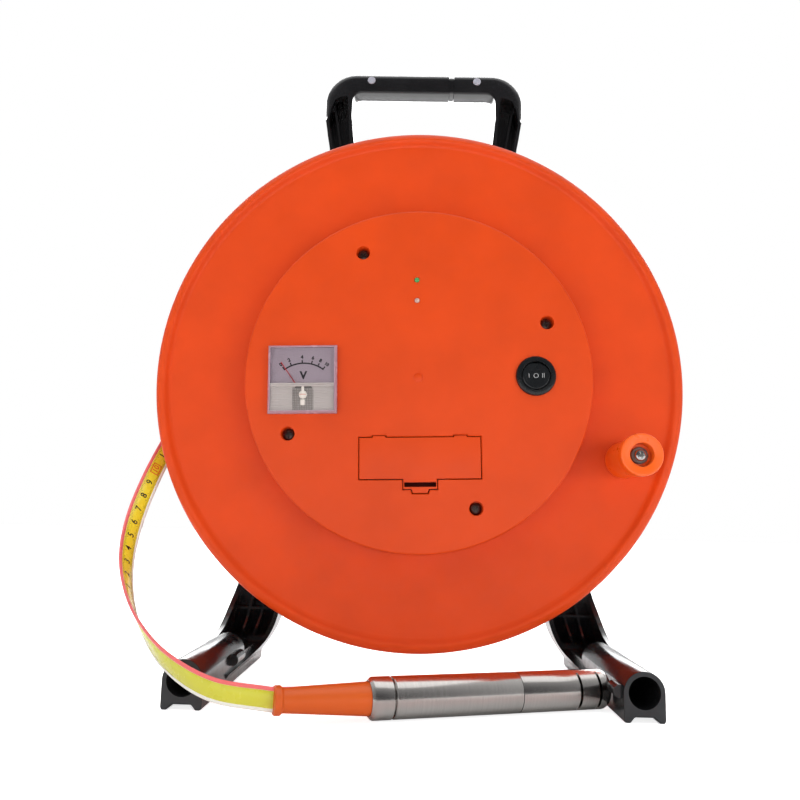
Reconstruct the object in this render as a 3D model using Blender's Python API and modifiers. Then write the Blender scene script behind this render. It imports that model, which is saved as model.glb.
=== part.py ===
"""Water level meter: a cranked tape reel with a battery instrument in its hub, carried by a moulded stand.

Metres, +Z up, front towards -Y. The floor is z = 0 and the axle lies along Y above the origin.
Reel pieces are placed in the reel's own frame: x right, y up, z out of the front flange's lip.
"""

import math

import bmesh
import bpy
from mathutils import Matrix, Vector

# Reel
FLANGE_RADIUS = 0.1574
FLOOR_GAP = 0.0176
FLANGE_WALL = 0.003
LIP_HEIGHT = 0.003
LIP_WIDTH = 0.0078
SKIRT_DEPTH = 0.0085
CORE_WALL = 0.003
WINDING_WIDTH = 0.050
WINDING_MARGIN = 0.0354
WINDING_DEPTH = 0.022
WINDING_RADIUS = FLANGE_RADIUS - WINDING_MARGIN
CORE_RADIUS = WINDING_RADIUS - WINDING_DEPTH
REEL_TURN = math.radians(1.7)
AXLE_HEIGHT = FLANGE_RADIUS + FLOOR_GAP
SEAT_GAP = 0.0003
RUN_GAP = 0.0005

# Hub
AXLE_RADIUS = 0.008
BUSH_WALL = 0.003
HUB_WALL = 0.004
HUB_FLOOR_DEPTH = 0.045
HUB_FLOOR_WALL = 0.003
HUB_FRONT_DEPTH = 0.037
HUB_BACK_DEPTH = 0.0612
BUSH_LENGTH = 0.007
BUSH_COLLAR = 0.0012
AXLE_NUT_RADIUS = 0.0135
AXLE_NUT_THICKNESS = 0.003
AXLE_HEAD_RADIUS = 0.014
AXLE_HEAD_THICKNESS = 0.004
AXLE_WASHER_RADIUS = 0.0122
AXLE_WASHER_THICKNESS = 0.0015
AXLE_SCREW_DEPTH = 0.011

# Instrument cover
COVER_OVERLAP = 0.0013
COVER_RADIUS = CORE_RADIUS + COVER_OVERLAP
COVER_RISE = 0.0124
COVER_WALL = 0.0025
COVER_FILLET = 0.0012
SCREW_MARGIN = 0.0192
SCREW_CIRCLE = COVER_RADIUS - SCREW_MARGIN
SCREW_ANGLE = math.radians(23.0)
SCREW_RECESS_RADIUS = 0.0039
SCREW_RECESS_DEPTH = 0.0042
SCREW_HEAD_RADIUS = 0.0034
SCREW_HEAD_HEIGHT = 0.0022
SCREW_RADIUS = 0.0019
SCREW_LENGTH = 0.018
SCREW_GRIP = 0.003
POST_RADIUS = 0.0055
GATE_MARK_RADIUS = 0.0028
GATE_MARK_DEPTH = 0.0004

# Panel meter
METER_EDGE = 0.0343
METER_X = METER_EDGE - COVER_RADIUS
METER_Y = -0.0008
METER_SIZE = 0.040
METER_RISE = 0.005
METER_WALL = 0.0012
METER_BARREL_RADIUS = 0.0165
METER_BARREL_DEPTH = 0.022
METER_BARREL_WALL = 0.0015
METER_SPLIT = -0.0037
PIVOT_SHIFT = 0.0005
PIVOT_X = METER_X + PIVOT_SHIFT
PIVOT_Y = -0.0100
NEEDLE_LENGTH = 0.0225
NEEDLE_WIDTH = 0.0006
NEEDLE_REST = math.radians(34.0)
NEEDLE_SWEEP = math.radians(68.0)
DIAL_WALL = 0.0008
COIL_RADIUS = 0.0045
MAGNET_WALL = 0.003
ZERO_SCREW_RADIUS = 0.0021

# Rocker switch
SWITCH_EDGE = 0.0333
SWITCH_X = COVER_RADIUS - SWITCH_EDGE
SWITCH_Y = 0.0003
SWITCH_BEZEL_RADIUS = 0.0116
SWITCH_BEZEL_HEIGHT = 0.0018
SWITCH_BARREL_RADIUS = 0.0098
SWITCH_BARREL_DEPTH = 0.016
SWITCH_WELL_DEPTH = 0.0070
ROCKER_RADIUS = 0.0079
ROCKER_THICKNESS = 0.0042
ROCKER_PIN_RADIUS = 0.0009
ROCKER_PIN_REACH = 0.0008
TERMINAL_WIDTH = 0.0047
TERMINAL_THICKNESS = 0.0008
TERMINAL_LENGTH = 0.007
TERMINAL_PITCH = 0.0055

# Lamps
LAMP_RADIUS = 0.0015
LAMP_COLLAR_RADIUS = 0.0020
LAMP_DOME = 0.0009
LAMP_X = -0.0003
LAMP_EDGE = 0.0427
LAMP_PITCH = 0.0125
GREEN_LAMP_Y = COVER_RADIUS - LAMP_EDGE
CLEAR_LAMP_Y = GREEN_LAMP_Y - LAMP_PITCH

# Battery bay
DOOR_WIDTH = 0.0695
DOOR_HEIGHT = 0.0237
DOOR_X = 0.0005
DOOR_EDGE = 0.0665
DOOR_TOP = DOOR_EDGE - COVER_RADIUS
DOOR_WALL = 0.002
DOOR_GAP = 0.0004
LUG_WIDTH = 0.0078
LUG_OFFSET = 0.0234
LUG_RISE = 0.0009
LUG_REACH = 0.0030
LUG_WALL = 0.0012
TAB_WIDTH = 0.0193
TAB_HEIGHT = 0.0058
TAB_SLOT_HEIGHT = 0.0032
BAY_WALL = 0.0015
BAY_MARGIN = 0.0010
BATTERY_LENGTH = 0.0465
BATTERY_HEIGHT = 0.0165
BATTERY_DEPTH = 0.0255
SNAP_THICKNESS = 0.004

# Circuit board
BOARD_WIDTH = 0.060
BOARD_HEIGHT = 0.030
BOARD_THICKNESS = 0.0016
BOARD_DROP = 0.0076
BOARD_Y = GREEN_LAMP_Y - BOARD_DROP
BOARD_DEPTH = 0.002
BOARD_POST_RADIUS = 0.0025
BUZZER_RADIUS = 0.006
BUZZER_HEIGHT = 0.0065
BUZZER_X = 0.018

# Crank knob
KNOB_CLEARANCE = 0.007
KNOB_CIRCLE = WINDING_RADIUS + KNOB_CLEARANCE
KNOB_ANGLE = math.radians(-21.7)
KNOB_REACH = 0.0386
KNOB_TIP_RADIUS = 0.0116
KNOB_NECK_RADIUS = 0.0100
KNOB_BASE_RADIUS = 0.0106
KNOB_RECESS_RADIUS = 0.0064
KNOB_RECESS_DEPTH = 0.008
KNOB_BUSH_RADIUS = 0.0046
KNOB_BUSH_HEIGHT = 0.0025
KNOB_BOLT_RADIUS = 0.0025
KNOB_BOLT_HEAD_RADIUS = 0.0031
KNOB_BOLT_HEAD_HEIGHT = 0.0022
KNOB_NUT_RADIUS = 0.0042
KNOB_NUT_HEIGHT = 0.0034

# Stand, with depths measured back from the front flange's lip
FOOT_FRONT = -0.0714
LEG_FRONT = 0.066
LEG_BACK = 0.088
LEG_WALL = 0.003
WEB_WALL = 0.004
RIB_WALL = 0.0014
FOOT_CENTRE = 0.111
TUBE_RADIUS = 0.010
TUBE_HEIGHT = 0.0138
BORE_RADIUS = 0.0075
BORE_DEPTH = 0.060
TUBE_END = 0.027
FOOT_BASE_HEIGHT = 0.0135
RIDGE_WIDTH = 0.0022
RIDGE_OFFSET = 0.0081
SOLE_HOLLOW = 0.0026
STUB_RADIUS = 0.0032
RIGHT_STUB = (-0.068, -0.055)
LEFT_STUB = (-0.010, 0.010)
HANDLE_RISE = 0.0778
WAIST_BELOW_TOP = 0.0652
WAIST_OUTER = 0.0655
WAIST_WIDTH = 0.0175
WAIST_INNER = WAIST_OUTER - WAIST_WIDTH
HANDLE_SHOULDER = 0.0322
HANDLE_HALF_WIDTH = 0.0703
HANDLE_CORNER = 0.022
GRIP_HEIGHT = 0.0145
HANDLE_LEG_WIDTH = 0.0193
GRIP_OPENING_HALF_WIDTH = HANDLE_HALF_WIDTH - HANDLE_LEG_WIDTH
GRIP_OPENING_DROP = 0.0761
GRIP_CORNER = 0.007
GRIP_ROUNDING = 0.005
GRIP_EDGE = 0.0008
GRIP_LEG = 0.0227
GRIP_SWELL = 0.0001
FIN_TOP = (0.0054, 0.022)
TIE_HEIGHT = 0.016
HUB_BAR_HALF_HEIGHT = 0.026
HUB_BOSS_RADIUS = 0.024
RIB_DEPTH = 0.011
LOW_RIBS = (0.034, 0.100)
HIGH_RIB = 0.255

# Leg edges below the straight part: height, outer edge, inner edge
LEG_FOOT_EDGES = (
    (0.0050, 0.1210, 0.1012),
    (0.0100, 0.1210, 0.0978),
    (0.0180, 0.1209, 0.0926),
    (0.0270, 0.1204, 0.0888),
    (0.0360, 0.1188, 0.0868),
    (0.0470, 0.1156, 0.0851),
    (0.0600, 0.1120, 0.0832),
    (0.0850, 0.1065, 0.0795),
)
# Top of the leg's pocket, as distances in from the handle's side and down from its top
POCKET_TOP = ((0.0031, 0.037), (0.0033, 0.034), (0.0045, 0.027), (0.0071, 0.0206), (0.0118, 0.0182), (0.0158, 0.0178))
# Underside and back of the grip, as shares of its height and of its depth
GRIP_BACK = ((1.0, 0.06), (0.985, 0.36), (0.93, 0.64), (0.80, 0.83), (0.58, 0.955), (0.35, 1.0))
# Side view of the inner wall's front edge, of the outer wall's and of the web, as depth and height, from the straight part down
INNER_SWEEP = ((0.066, 0.017), (0.0640, 0.0135), (0.058, 0.0115), (0.043, 0.0100), (0.020, 0.0088), (-0.020, 0.0078))
OUTER_WALL_FROM = 0.107
LEG_SWEEP = ((0.066, 0.062), (0.0645, 0.047), (0.058, 0.034), (0.045, 0.0252), (0.022, 0.0205), (-0.020, 0.0178))
WEB_SWEEP = ((0.084, 0.064), (0.0838, 0.050), (0.0830, 0.038), (0.0800, 0.026), (0.0700, 0.018), (0.040, 0.0150))

# Tape and probe
TAPE_WIDTH = 0.0112
TAPE_THICKNESS = 0.0015
TAPE_STEPS = 4
PROBE_RADIUS = 0.0098
PROBE_WALL = 0.0015
PROBE_X = -0.0206
PROBE_DEPTH = -0.0817
PROBE_TURN = math.radians(19.0)
COLLAR_END = 0.0108
COLLAR_CHAMFER = 0.0012
COLLAR_NOSE = 0.009
COLLAR_GROOVE = 0.0008
BODY_END = 0.0760
CAGE_NECK = 0.008
NOSE_END = 0.1260
NOSE_ROUNDING = 0.004
NOSE_WALL = 0.0035
SLOT_WIDTH = 0.0014
SLOT_PLACES = (0.1077, 0.1185)
SLOT_EDGE = 0.0041
BOOT_START = -0.0445
BOOT_TILT = math.radians(1.3)
BOOT_RIM_RADIUS = 0.0066
BOOT_RIM_LENGTH = 0.0038
BOOT_NECK_RADIUS = 0.0056
BOOT_END_RADIUS = 0.0077
BOOT_SINK = 0.0007
BOOT_PLUG_RADIUS = 0.0060
BOOT_PLUG_END = 0.009
SENSOR_RADIUS = 0.0065
SENSOR_LENGTH = 0.028
PIN_RADIUS = 0.002
PIN_LENGTH = 0.016
WEIGHT_LENGTH = 0.040

# Route of the free tape in world coordinates, from the winding to the boot, with the tape's roll in degrees
TAPE_ROUTE = (
    ((-0.1046, 0.0360, 0.2401), -180),
    ((-0.1192, 0.0349, 0.2151), -178),
    ((-0.1323, 0.0312, 0.1896), -168),
    ((-0.1438, 0.0244, 0.1639), -150),
    ((-0.1530, 0.0142, 0.1384), -132),
    ((-0.1591, 0.0001, 0.1139), -124),
    ((-0.1609, -0.0174, 0.0910), -135),
    ((-0.1574, -0.0373, 0.0704), -158),
    ((-0.1481, -0.0581, 0.0526), -187),
    ((-0.1339, -0.0783, 0.0375), -212),
    ((-0.1151, -0.0962, 0.0248), -238),
    ((-0.0908, -0.1080, 0.0154), -260),
    ((-0.0636, -0.1069, 0.0113), -270),
)

# Facets
ROUND_LARGE = 48
ROUND_MEDIUM = 24
ROUND_SMALL = 16

# Depths in the reel frame, where z = 0 is the lip's front and depth runs back
FLANGE_BACK = LIP_HEIGHT + FLANGE_WALL
REAR_FLANGE_FRONT = FLANGE_BACK + WINDING_WIDTH
REAR_FLANGE_BACK = REAR_FLANGE_FRONT + FLANGE_WALL
REAR_LIP = REAR_FLANGE_BACK + LIP_HEIGHT
CORE_SPLIT = (FLANGE_BACK + REAR_FLANGE_FRONT) / 2
STAND_BACK = LEG_BACK + SEAT_GAP + AXLE_HEAD_THICKNESS
RIM_Y = -(FOOT_FRONT + STAND_BACK) / 2
HANDLE_TOP = AXLE_HEIGHT + FLANGE_RADIUS + HANDLE_RISE
WAIST_HEIGHT = HANDLE_TOP - WAIST_BELOW_TOP
COVER_INNER = COVER_RISE - COVER_WALL

PARTS = "water_level_meter"
CUTTERS = "cutters"


def clear_scene():
    for item in list(bpy.data.objects):
        bpy.data.objects.remove(item, do_unlink=True)
    for name in (PARTS, CUTTERS):
        collection = bpy.data.collections.new(name)
        bpy.context.scene.collection.children.link(collection)


def finish(name, colour, roughness, metallic=0.0, alpha=1.0):
    made = bpy.data.materials.new(name)
    made.use_nodes = True
    shader = made.node_tree.nodes["Principled BSDF"]
    shader.inputs["Base Color"].default_value = (*colour, 1.0)
    shader.inputs["Roughness"].default_value = roughness
    shader.inputs["Metallic"].default_value = metallic
    shader.inputs["Alpha"].default_value = alpha
    made.diffuse_color = (*colour, alpha)
    return made


def frame(name, place, turn=(0.0, 0.0, 0.0), parent=None):
    """An empty whose axes carry pieces."""
    empty = bpy.data.objects.new(name, None)
    empty.location = place
    empty.rotation_euler = turn
    empty.empty_display_size = 0.02
    empty.parent = parent
    bpy.data.collections[PARTS].objects.link(empty)
    return empty


def piece(name, data, material, parent, place=(0.0, 0.0, 0.0), turn=(0.0, 0.0, 0.0)):
    """An object in the parts collection, or a cutter when it has no material."""
    item = bpy.data.objects.new(name, data)
    item.location = place
    item.rotation_euler = turn
    item.parent = parent
    if material is None:
        bpy.data.collections[CUTTERS].objects.link(item)
        item.hide_render = True
        item.display_type = "WIRE"
    else:
        bpy.data.collections[PARTS].objects.link(item)
        data.materials.append(material)
    return item


def smooth(item, angle=40.0):
    item.data.shade_smooth()
    item.data.set_sharp_from_angle(angle=math.radians(angle))


def turned(name, profile, material, parent, place=(0.0, 0.0, 0.0), ring=False, steps=ROUND_MEDIUM):
    """A profile of (radius, z) points turned about z; a ring's profile is closed."""
    mesh = bpy.data.meshes.new(name)
    count = len(profile)
    edges = [(i, i + 1) for i in range(count - 1)]
    if ring:
        edges.append((count - 1, 0))
    mesh.from_pydata([(radius, 0.0, z) for radius, z in profile], edges, [])
    item = piece(name, mesh, material, parent, place)
    screw = item.modifiers.new("Turn", "SCREW")
    screw.axis = "Z"
    screw.angle = math.tau
    screw.steps = steps
    screw.render_steps = steps
    screw.use_merge_vertices = True
    screw.merge_threshold = 0.00001
    screw.use_smooth_shade = True
    return item


def cylinder(name, radius, low, high, material, parent, place=(0.0, 0.0), sides=ROUND_SMALL):
    """A cylinder along z from low to high."""
    mesh = bpy.data.meshes.new(name)
    shape = bmesh.new()
    bmesh.ops.create_cone(
        shape, cap_ends=True, segments=sides, radius1=radius, radius2=radius, depth=high - low
    )
    bmesh.ops.rotate(shape, verts=shape.verts, matrix=Matrix.Rotation(math.pi / sides, 3, "Z"))
    shape.to_mesh(mesh)
    shape.free()
    item = piece(name, mesh, material, parent, (place[0], place[1], (low + high) / 2))
    smooth(item)
    return item


def box(name, low, high, material, parent, bevel=0.0):
    """A box between two corners."""
    mesh = bpy.data.meshes.new(name)
    shape = bmesh.new()
    bmesh.ops.create_cube(shape, size=1.0)
    size = Vector(high) - Vector(low)
    bmesh.ops.scale(shape, vec=size, verts=shape.verts)
    shape.to_mesh(mesh)
    shape.free()
    item = piece(name, mesh, material, parent, (Vector(low) + Vector(high)) / 2)
    if bevel:
        rounding = item.modifiers.new("Edges", "BEVEL")
        rounding.width = bevel
        rounding.segments = 2
    return item


def outline_mesh(name, outlines, thickness):
    """A flat outline, with any holes or islands, filled and extruded to both sides of z = 0."""
    curve = bpy.data.curves.new(name + "_outline", "CURVE")
    curve.dimensions = "2D"
    curve.fill_mode = "BOTH"
    curve.extrude = thickness / 2
    for points in outlines:
        spline = curve.splines.new("POLY")
        spline.points.add(len(points) - 1)
        for point, (x, y) in zip(spline.points, points):
            point.co = (x, y, 0.0, 1.0)
        spline.use_cyclic_u = True
    drawn = bpy.data.objects.new(name + "_outline", curve)
    bpy.data.collections[PARTS].objects.link(drawn)
    bpy.context.view_layer.update()
    graph = bpy.context.evaluated_depsgraph_get()
    mesh = bpy.data.meshes.new_from_object(drawn.evaluated_get(graph))
    bpy.data.objects.remove(drawn)
    shape = bmesh.new()
    shape.from_mesh(mesh)
    bmesh.ops.remove_doubles(shape, verts=shape.verts, dist=0.000001)
    shape.to_mesh(mesh)
    shape.free()
    mesh.name = name
    return mesh


def plate(name, outlines, low, high, material, parent):
    """A flat outline in the xy plane, solid from low to high along z."""
    mesh = outline_mesh(name, outlines, high - low)
    return piece(name, mesh, material, parent, (0.0, 0.0, (low + high) / 2))


def cut(item, *cutters):
    for cutter in cutters:
        change = item.modifiers.new("Cut " + cutter.name, "BOOLEAN")
        change.operation = "DIFFERENCE"
        change.object = cutter
        change.solver = "EXACT"


def join(item, *others):
    for other in others:
        change = item.modifiers.new("Join " + other.name, "BOOLEAN")
        change.operation = "UNION"
        change.object = other
        change.solver = "EXACT"


def keep_inside(item, other):
    change = item.modifiers.new("Inside " + other.name, "BOOLEAN")
    change.operation = "INTERSECT"
    change.object = other
    change.solver = "EXACT"


def arc(centre, radius, start, end, count):
    """Points on an arc, with angles in degrees."""
    angles = [math.radians(start + (end - start) * i / (count - 1)) for i in range(count)]
    return [(centre[0] + radius * math.cos(a), centre[1] + radius * math.sin(a)) for a in angles]


def polar(radius, angle):
    return (radius * math.cos(angle), radius * math.sin(angle))


def rectangle(left, bottom, right, top):
    return [(left, bottom), (right, bottom), (right, top), (left, top)]


def screw_places():
    return [polar(SCREW_CIRCLE, SCREW_ANGLE + math.pi / 2 * i) for i in range(4)]


def make_finishes():
    return {
        "orange": finish("orange_plastic", (0.76, 0.072, 0.020), 0.42),
        "black": finish("black_plastic", (0.018, 0.018, 0.020), 0.35),
        "steel": finish("steel", (0.62, 0.60, 0.57), 0.30, 1.0),
        "brass": finish("brass", (0.70, 0.50, 0.20), 0.35, 1.0),
        "clear": finish("clear_plastic", (0.95, 0.88, 0.86), 0.08, 0.0, 0.35),
        "white": finish("white_plastic", (0.85, 0.84, 0.82), 0.45),
        "green": finish("green_lamp", (0.05, 0.40, 0.10), 0.20),
        "lamp": finish("clear_lamp", (0.80, 0.62, 0.55), 0.15),
        "red": finish("red_paint", (0.60, 0.03, 0.02), 0.40),
        "board": finish("circuit_board", (0.02, 0.16, 0.06), 0.50),
        "boot": finish("boot_rubber", (0.80, 0.16, 0.02), 0.55),
        "tape": finish("tape_jacket", (0.62, 0.52, 0.06), 0.30),
        "battery": finish("battery_case", (0.10, 0.10, 0.11), 0.40),
        "grey": finish("grey_plastic", (0.25, 0.23, 0.22), 0.45),
    }


def lip_profile(outward):
    """The flange's rim from its inner fillet to the skirt, as (radius, z), for a lip that rises along outward."""
    rise = LIP_HEIGHT * outward
    return [
        (FLANGE_RADIUS - LIP_WIDTH, 0.0),
        (FLANGE_RADIUS - LIP_WIDTH * 0.66, rise * 0.55),
        (FLANGE_RADIUS - LIP_WIDTH * 0.46, rise),
        (FLANGE_RADIUS - LIP_WIDTH * 0.16, rise),
        (FLANGE_RADIUS, rise * 0.45),
        (FLANGE_RADIUS, rise - SKIRT_DEPTH * outward),
        (FLANGE_RADIUS - FLANGE_WALL * 0.7, rise - SKIRT_DEPTH * outward),
        (FLANGE_RADIUS - FLANGE_WALL * 0.7, -FLANGE_WALL * outward),
    ]


def make_front_flange(reel, look):
    """The front flange with the front half of the winding core; the core's mouth is open to the cover."""
    face = -LIP_HEIGHT
    bore = CORE_RADIUS - CORE_WALL
    profile = [(bore, face)]
    profile += [(radius, face + z) for radius, z in lip_profile(1.0)]
    profile += [
        (CORE_RADIUS, -FLANGE_BACK),
        (CORE_RADIUS, -CORE_SPLIT + SEAT_GAP / 2),
        (bore, -CORE_SPLIT + SEAT_GAP / 2),
    ]
    item = turned("front_flange", profile, look["orange"], reel, ring=True, steps=ROUND_LARGE)
    hole = cylinder(
        "knob_bolt_hole",
        KNOB_BOLT_RADIUS + SEAT_GAP,
        -FLANGE_BACK - FLANGE_WALL,
        0.0,
        None,
        reel,
        polar(KNOB_CIRCLE, KNOB_ANGLE),
    )
    cut(item, hole)
    return item


def make_rear_flange(reel, look):
    """The rear flange, the rear half of the core, the hub's floor, its bearing tube and the screw posts."""
    bore = CORE_RADIUS - CORE_WALL
    tube_inner = AXLE_RADIUS + RUN_GAP + BUSH_WALL + SEAT_GAP
    tube_outer = tube_inner + HUB_WALL
    profile = [
        (tube_inner, -HUB_FRONT_DEPTH),
        (tube_outer, -HUB_FRONT_DEPTH),
        (tube_outer, -HUB_FLOOR_DEPTH),
        (bore, -HUB_FLOOR_DEPTH),
        (bore, -CORE_SPLIT - SEAT_GAP / 2),
        (CORE_RADIUS, -CORE_SPLIT - SEAT_GAP / 2),
        (CORE_RADIUS, -REAR_FLANGE_FRONT),
    ]
    rim = [(radius, -REAR_FLANGE_BACK + z) for radius, z in lip_profile(-1.0)]
    profile += reversed(rim)
    profile += [
        (bore, -REAR_FLANGE_BACK),
        (bore, -HUB_FLOOR_DEPTH - HUB_FLOOR_WALL),
        (tube_outer, -HUB_FLOOR_DEPTH - HUB_FLOOR_WALL),
        (tube_outer, -HUB_BACK_DEPTH),
        (tube_inner, -HUB_BACK_DEPTH),
    ]
    item = turned("rear_flange", profile, look["orange"], reel, ring=True, steps=ROUND_LARGE)
    top = post_split() - SEAT_GAP
    for i, place in enumerate(screw_places()):
        post = cylinder(f"rear_post_{i}", POST_RADIUS, -HUB_FLOOR_DEPTH - 0.001, top, None, reel, place, 12)
        join(item, post)
    for i, place in enumerate(screw_places()):
        low = screw_head_seat() - SCREW_LENGTH - 0.002
        hole = cylinder(f"rear_post_hole_{i}", SCREW_RADIUS + SEAT_GAP, low, top + 0.001, None, reel, place, 12)
        cut(item, hole)
    return item


def screw_head_seat():
    return COVER_RISE - SCREW_RECESS_DEPTH - SCREW_HEAD_HEIGHT


def post_split():
    """Where the cover's posts end and the rear half's posts begin."""
    return screw_head_seat() - SCREW_GRIP


def make_cover(reel, look):
    """The raised instrument cover: a shallow cup whose skirt stands on the flange, with four screw posts."""
    inner = COVER_RADIUS - COVER_WALL
    profile = [
        (0.0, COVER_RISE),
        (COVER_RADIUS - COVER_FILLET, COVER_RISE),
        (COVER_RADIUS - COVER_FILLET * 0.3, COVER_RISE - COVER_FILLET * 0.3),
        (COVER_RADIUS, COVER_RISE - COVER_FILLET),
        (COVER_RADIUS, -LIP_HEIGHT + SEAT_GAP),
        (inner, -LIP_HEIGHT + SEAT_GAP),
        (inner, COVER_INNER),
        (0.0, COVER_INNER),
    ]
    item = turned("instrument_cover", profile, look["orange"], reel, steps=ROUND_LARGE)
    for i, place in enumerate(screw_places()):
        join(item, cylinder(f"cover_post_{i}", POST_RADIUS, post_split(), COVER_INNER + 0.001, None, reel, place, 12))
    for i, (x, y) in enumerate(board_posts()):
        low = -BOARD_DEPTH + SEAT_GAP
        join(item, cylinder(f"board_post_{i}", BOARD_POST_RADIUS, low, COVER_INNER + 0.001, None, reel, (x, y), 8))
    for i, place in enumerate(screw_places()):
        seat = screw_head_seat() - SEAT_GAP
        recess = cylinder(f"recess_{i}", SCREW_RECESS_RADIUS, seat, COVER_RISE + 0.001, None, reel, place)
        shank = cylinder(f"shank_hole_{i}", SCREW_RADIUS + SEAT_GAP, post_split() - 0.001, seat + 0.001, None,
                         reel, place, 12)
        cut(item, recess, shank)
    through = (COVER_INNER - 0.002, COVER_RISE + 0.001)
    holes = [
        cylinder("meter_hole", METER_BARREL_RADIUS + SEAT_GAP, *through, None, reel, (METER_X, METER_Y), 32),
        cylinder("switch_hole", SWITCH_BARREL_RADIUS + SEAT_GAP, *through, None, reel, (SWITCH_X, SWITCH_Y), 32),
        cylinder("green_lamp_hole", LAMP_RADIUS + SEAT_GAP, *through, None, reel, (LAMP_X, GREEN_LAMP_Y), 12),
        cylinder("clear_lamp_hole", LAMP_RADIUS + SEAT_GAP, *through, None, reel, (LAMP_X, CLEAR_LAMP_Y), 12),
        cylinder("gate_mark", GATE_MARK_RADIUS, COVER_RISE - GATE_MARK_DEPTH, COVER_RISE + 0.001, None, reel),
        plate("door_hole", [door_opening()], *through, None, reel),
    ]
    cut(item, *holes)
    return item


def door_box():
    left = DOOR_X - DOOR_WIDTH / 2
    return left, DOOR_TOP - DOOR_HEIGHT, left + DOOR_WIDTH, DOOR_TOP


def door_opening():
    """The door's hole: a rectangle with two notches above for the lugs and one below for the snap tab."""
    left, bottom, right, top = door_box()
    points = [(left, bottom), (DOOR_X - TAB_WIDTH / 2, bottom), (DOOR_X - TAB_WIDTH / 2, bottom - TAB_HEIGHT)]
    points += [(DOOR_X + TAB_WIDTH / 2, bottom - TAB_HEIGHT), (DOOR_X + TAB_WIDTH / 2, bottom), (right, bottom)]
    points.append((right, top))
    for centre in (DOOR_X + LUG_OFFSET, DOOR_X - LUG_OFFSET):
        points.append((centre + LUG_WIDTH / 2, top))
        points.append((centre + LUG_WIDTH / 2, top + LUG_RISE))
        points.append((centre - LUG_WIDTH / 2, top + LUG_RISE))
        points.append((centre - LUG_WIDTH / 2, top))
    points.append((left, top))
    return points


def make_battery_door(reel, look):
    """The door in its hole, with lugs that hook behind the cover's edge and a springy tab with a finger slot."""
    left, bottom, right, top = door_box()
    gap = DOOR_GAP
    hinge = frame("door_hinge", (DOOR_X, top + LUG_RISE, COVER_RISE), parent=reel)
    dx, dy = DOOR_X, top + LUG_RISE
    body = rectangle(left + gap - dx, bottom + gap - dy, right - gap - dx, top - gap - dy)
    item = plate("battery_door", [body], -DOOR_WALL, 0.0, look["orange"], hinge)
    half = TAB_WIDTH / 2 - gap
    floor = bottom - TAB_HEIGHT + gap - dy
    tab = [(-half, bottom + 2 * gap - dy), (-half, floor), (half, floor), (half, bottom + 2 * gap - dy)]
    join(item, plate("door_tab", [tab], -DOOR_WALL, 0.0, None, hinge))
    for side in (-1, 1):
        centre = side * LUG_OFFSET
        wide = LUG_WIDTH / 2 - gap
        tongue = rectangle(centre - wide, top - 0.003 - dy, centre + wide, top + LUG_RISE - gap - dy)
        join(item, plate(f"door_lug_{side}", [tongue], -DOOR_WALL, 0.0, None, hinge))
        behind = -COVER_WALL - SEAT_GAP
        back = rectangle(centre - wide, top - 0.003 - dy, centre + wide, top + LUG_RISE - gap - dy)
        join(item, plate(f"door_heel_{side}", [back], behind - LUG_WALL, -DOOR_WALL + 0.0002, None, hinge))
        hook = rectangle(centre - wide, top - 0.003 - dy, centre + wide, LUG_REACH)
        join(item, plate(f"door_hook_{side}", [hook], behind - LUG_WALL, behind, None, hinge))
    slot_low = bottom - TAB_HEIGHT + 0.0012 - dy
    slot = rectangle(-half + 0.0012, slot_low, half - 0.0012, slot_low + TAB_SLOT_HEIGHT)
    cut(item, plate("tab_slot", [slot], -DOOR_WALL * 0.6, 0.001, None, hinge))
    return item


def make_panel_screws(reel, look):
    seat = screw_head_seat()
    head = seat + SCREW_HEAD_HEIGHT
    for i, place in enumerate(screw_places()):
        profile = [
            (0.0, head),
            (SCREW_HEAD_RADIUS * 0.75, head),
            (SCREW_HEAD_RADIUS, head - SCREW_HEAD_HEIGHT * 0.4),
            (SCREW_HEAD_RADIUS, seat),
            (SCREW_RADIUS, seat),
            (SCREW_RADIUS, seat - SCREW_LENGTH + SCREW_RADIUS),
            (0.0, seat - SCREW_LENGTH),
        ]
        item = turned(f"panel_screw_{i + 1}", profile, look["steel"], reel, (*place, 0.0), steps=ROUND_SMALL)
        wide = SCREW_HEAD_RADIUS * 0.62
        thin = SCREW_HEAD_RADIUS * 0.14
        arm = [(thin, thin), (thin * 0.85, wide), (-thin * 0.85, wide)]
        cross = []
        for quarter in range(4):
            c, s = ((1, 0), (0, 1), (-1, 0), (0, -1))[quarter]
            cross += [(c * x - s * y, s * x + c * y) for x, y in arm]
        moved = [(place[0] + x, place[1] + y) for x, y in cross]
        cut(item, plate(f"cross_slot_{i}", [moved], head - 0.0012, head + 0.001, None, reel))


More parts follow.
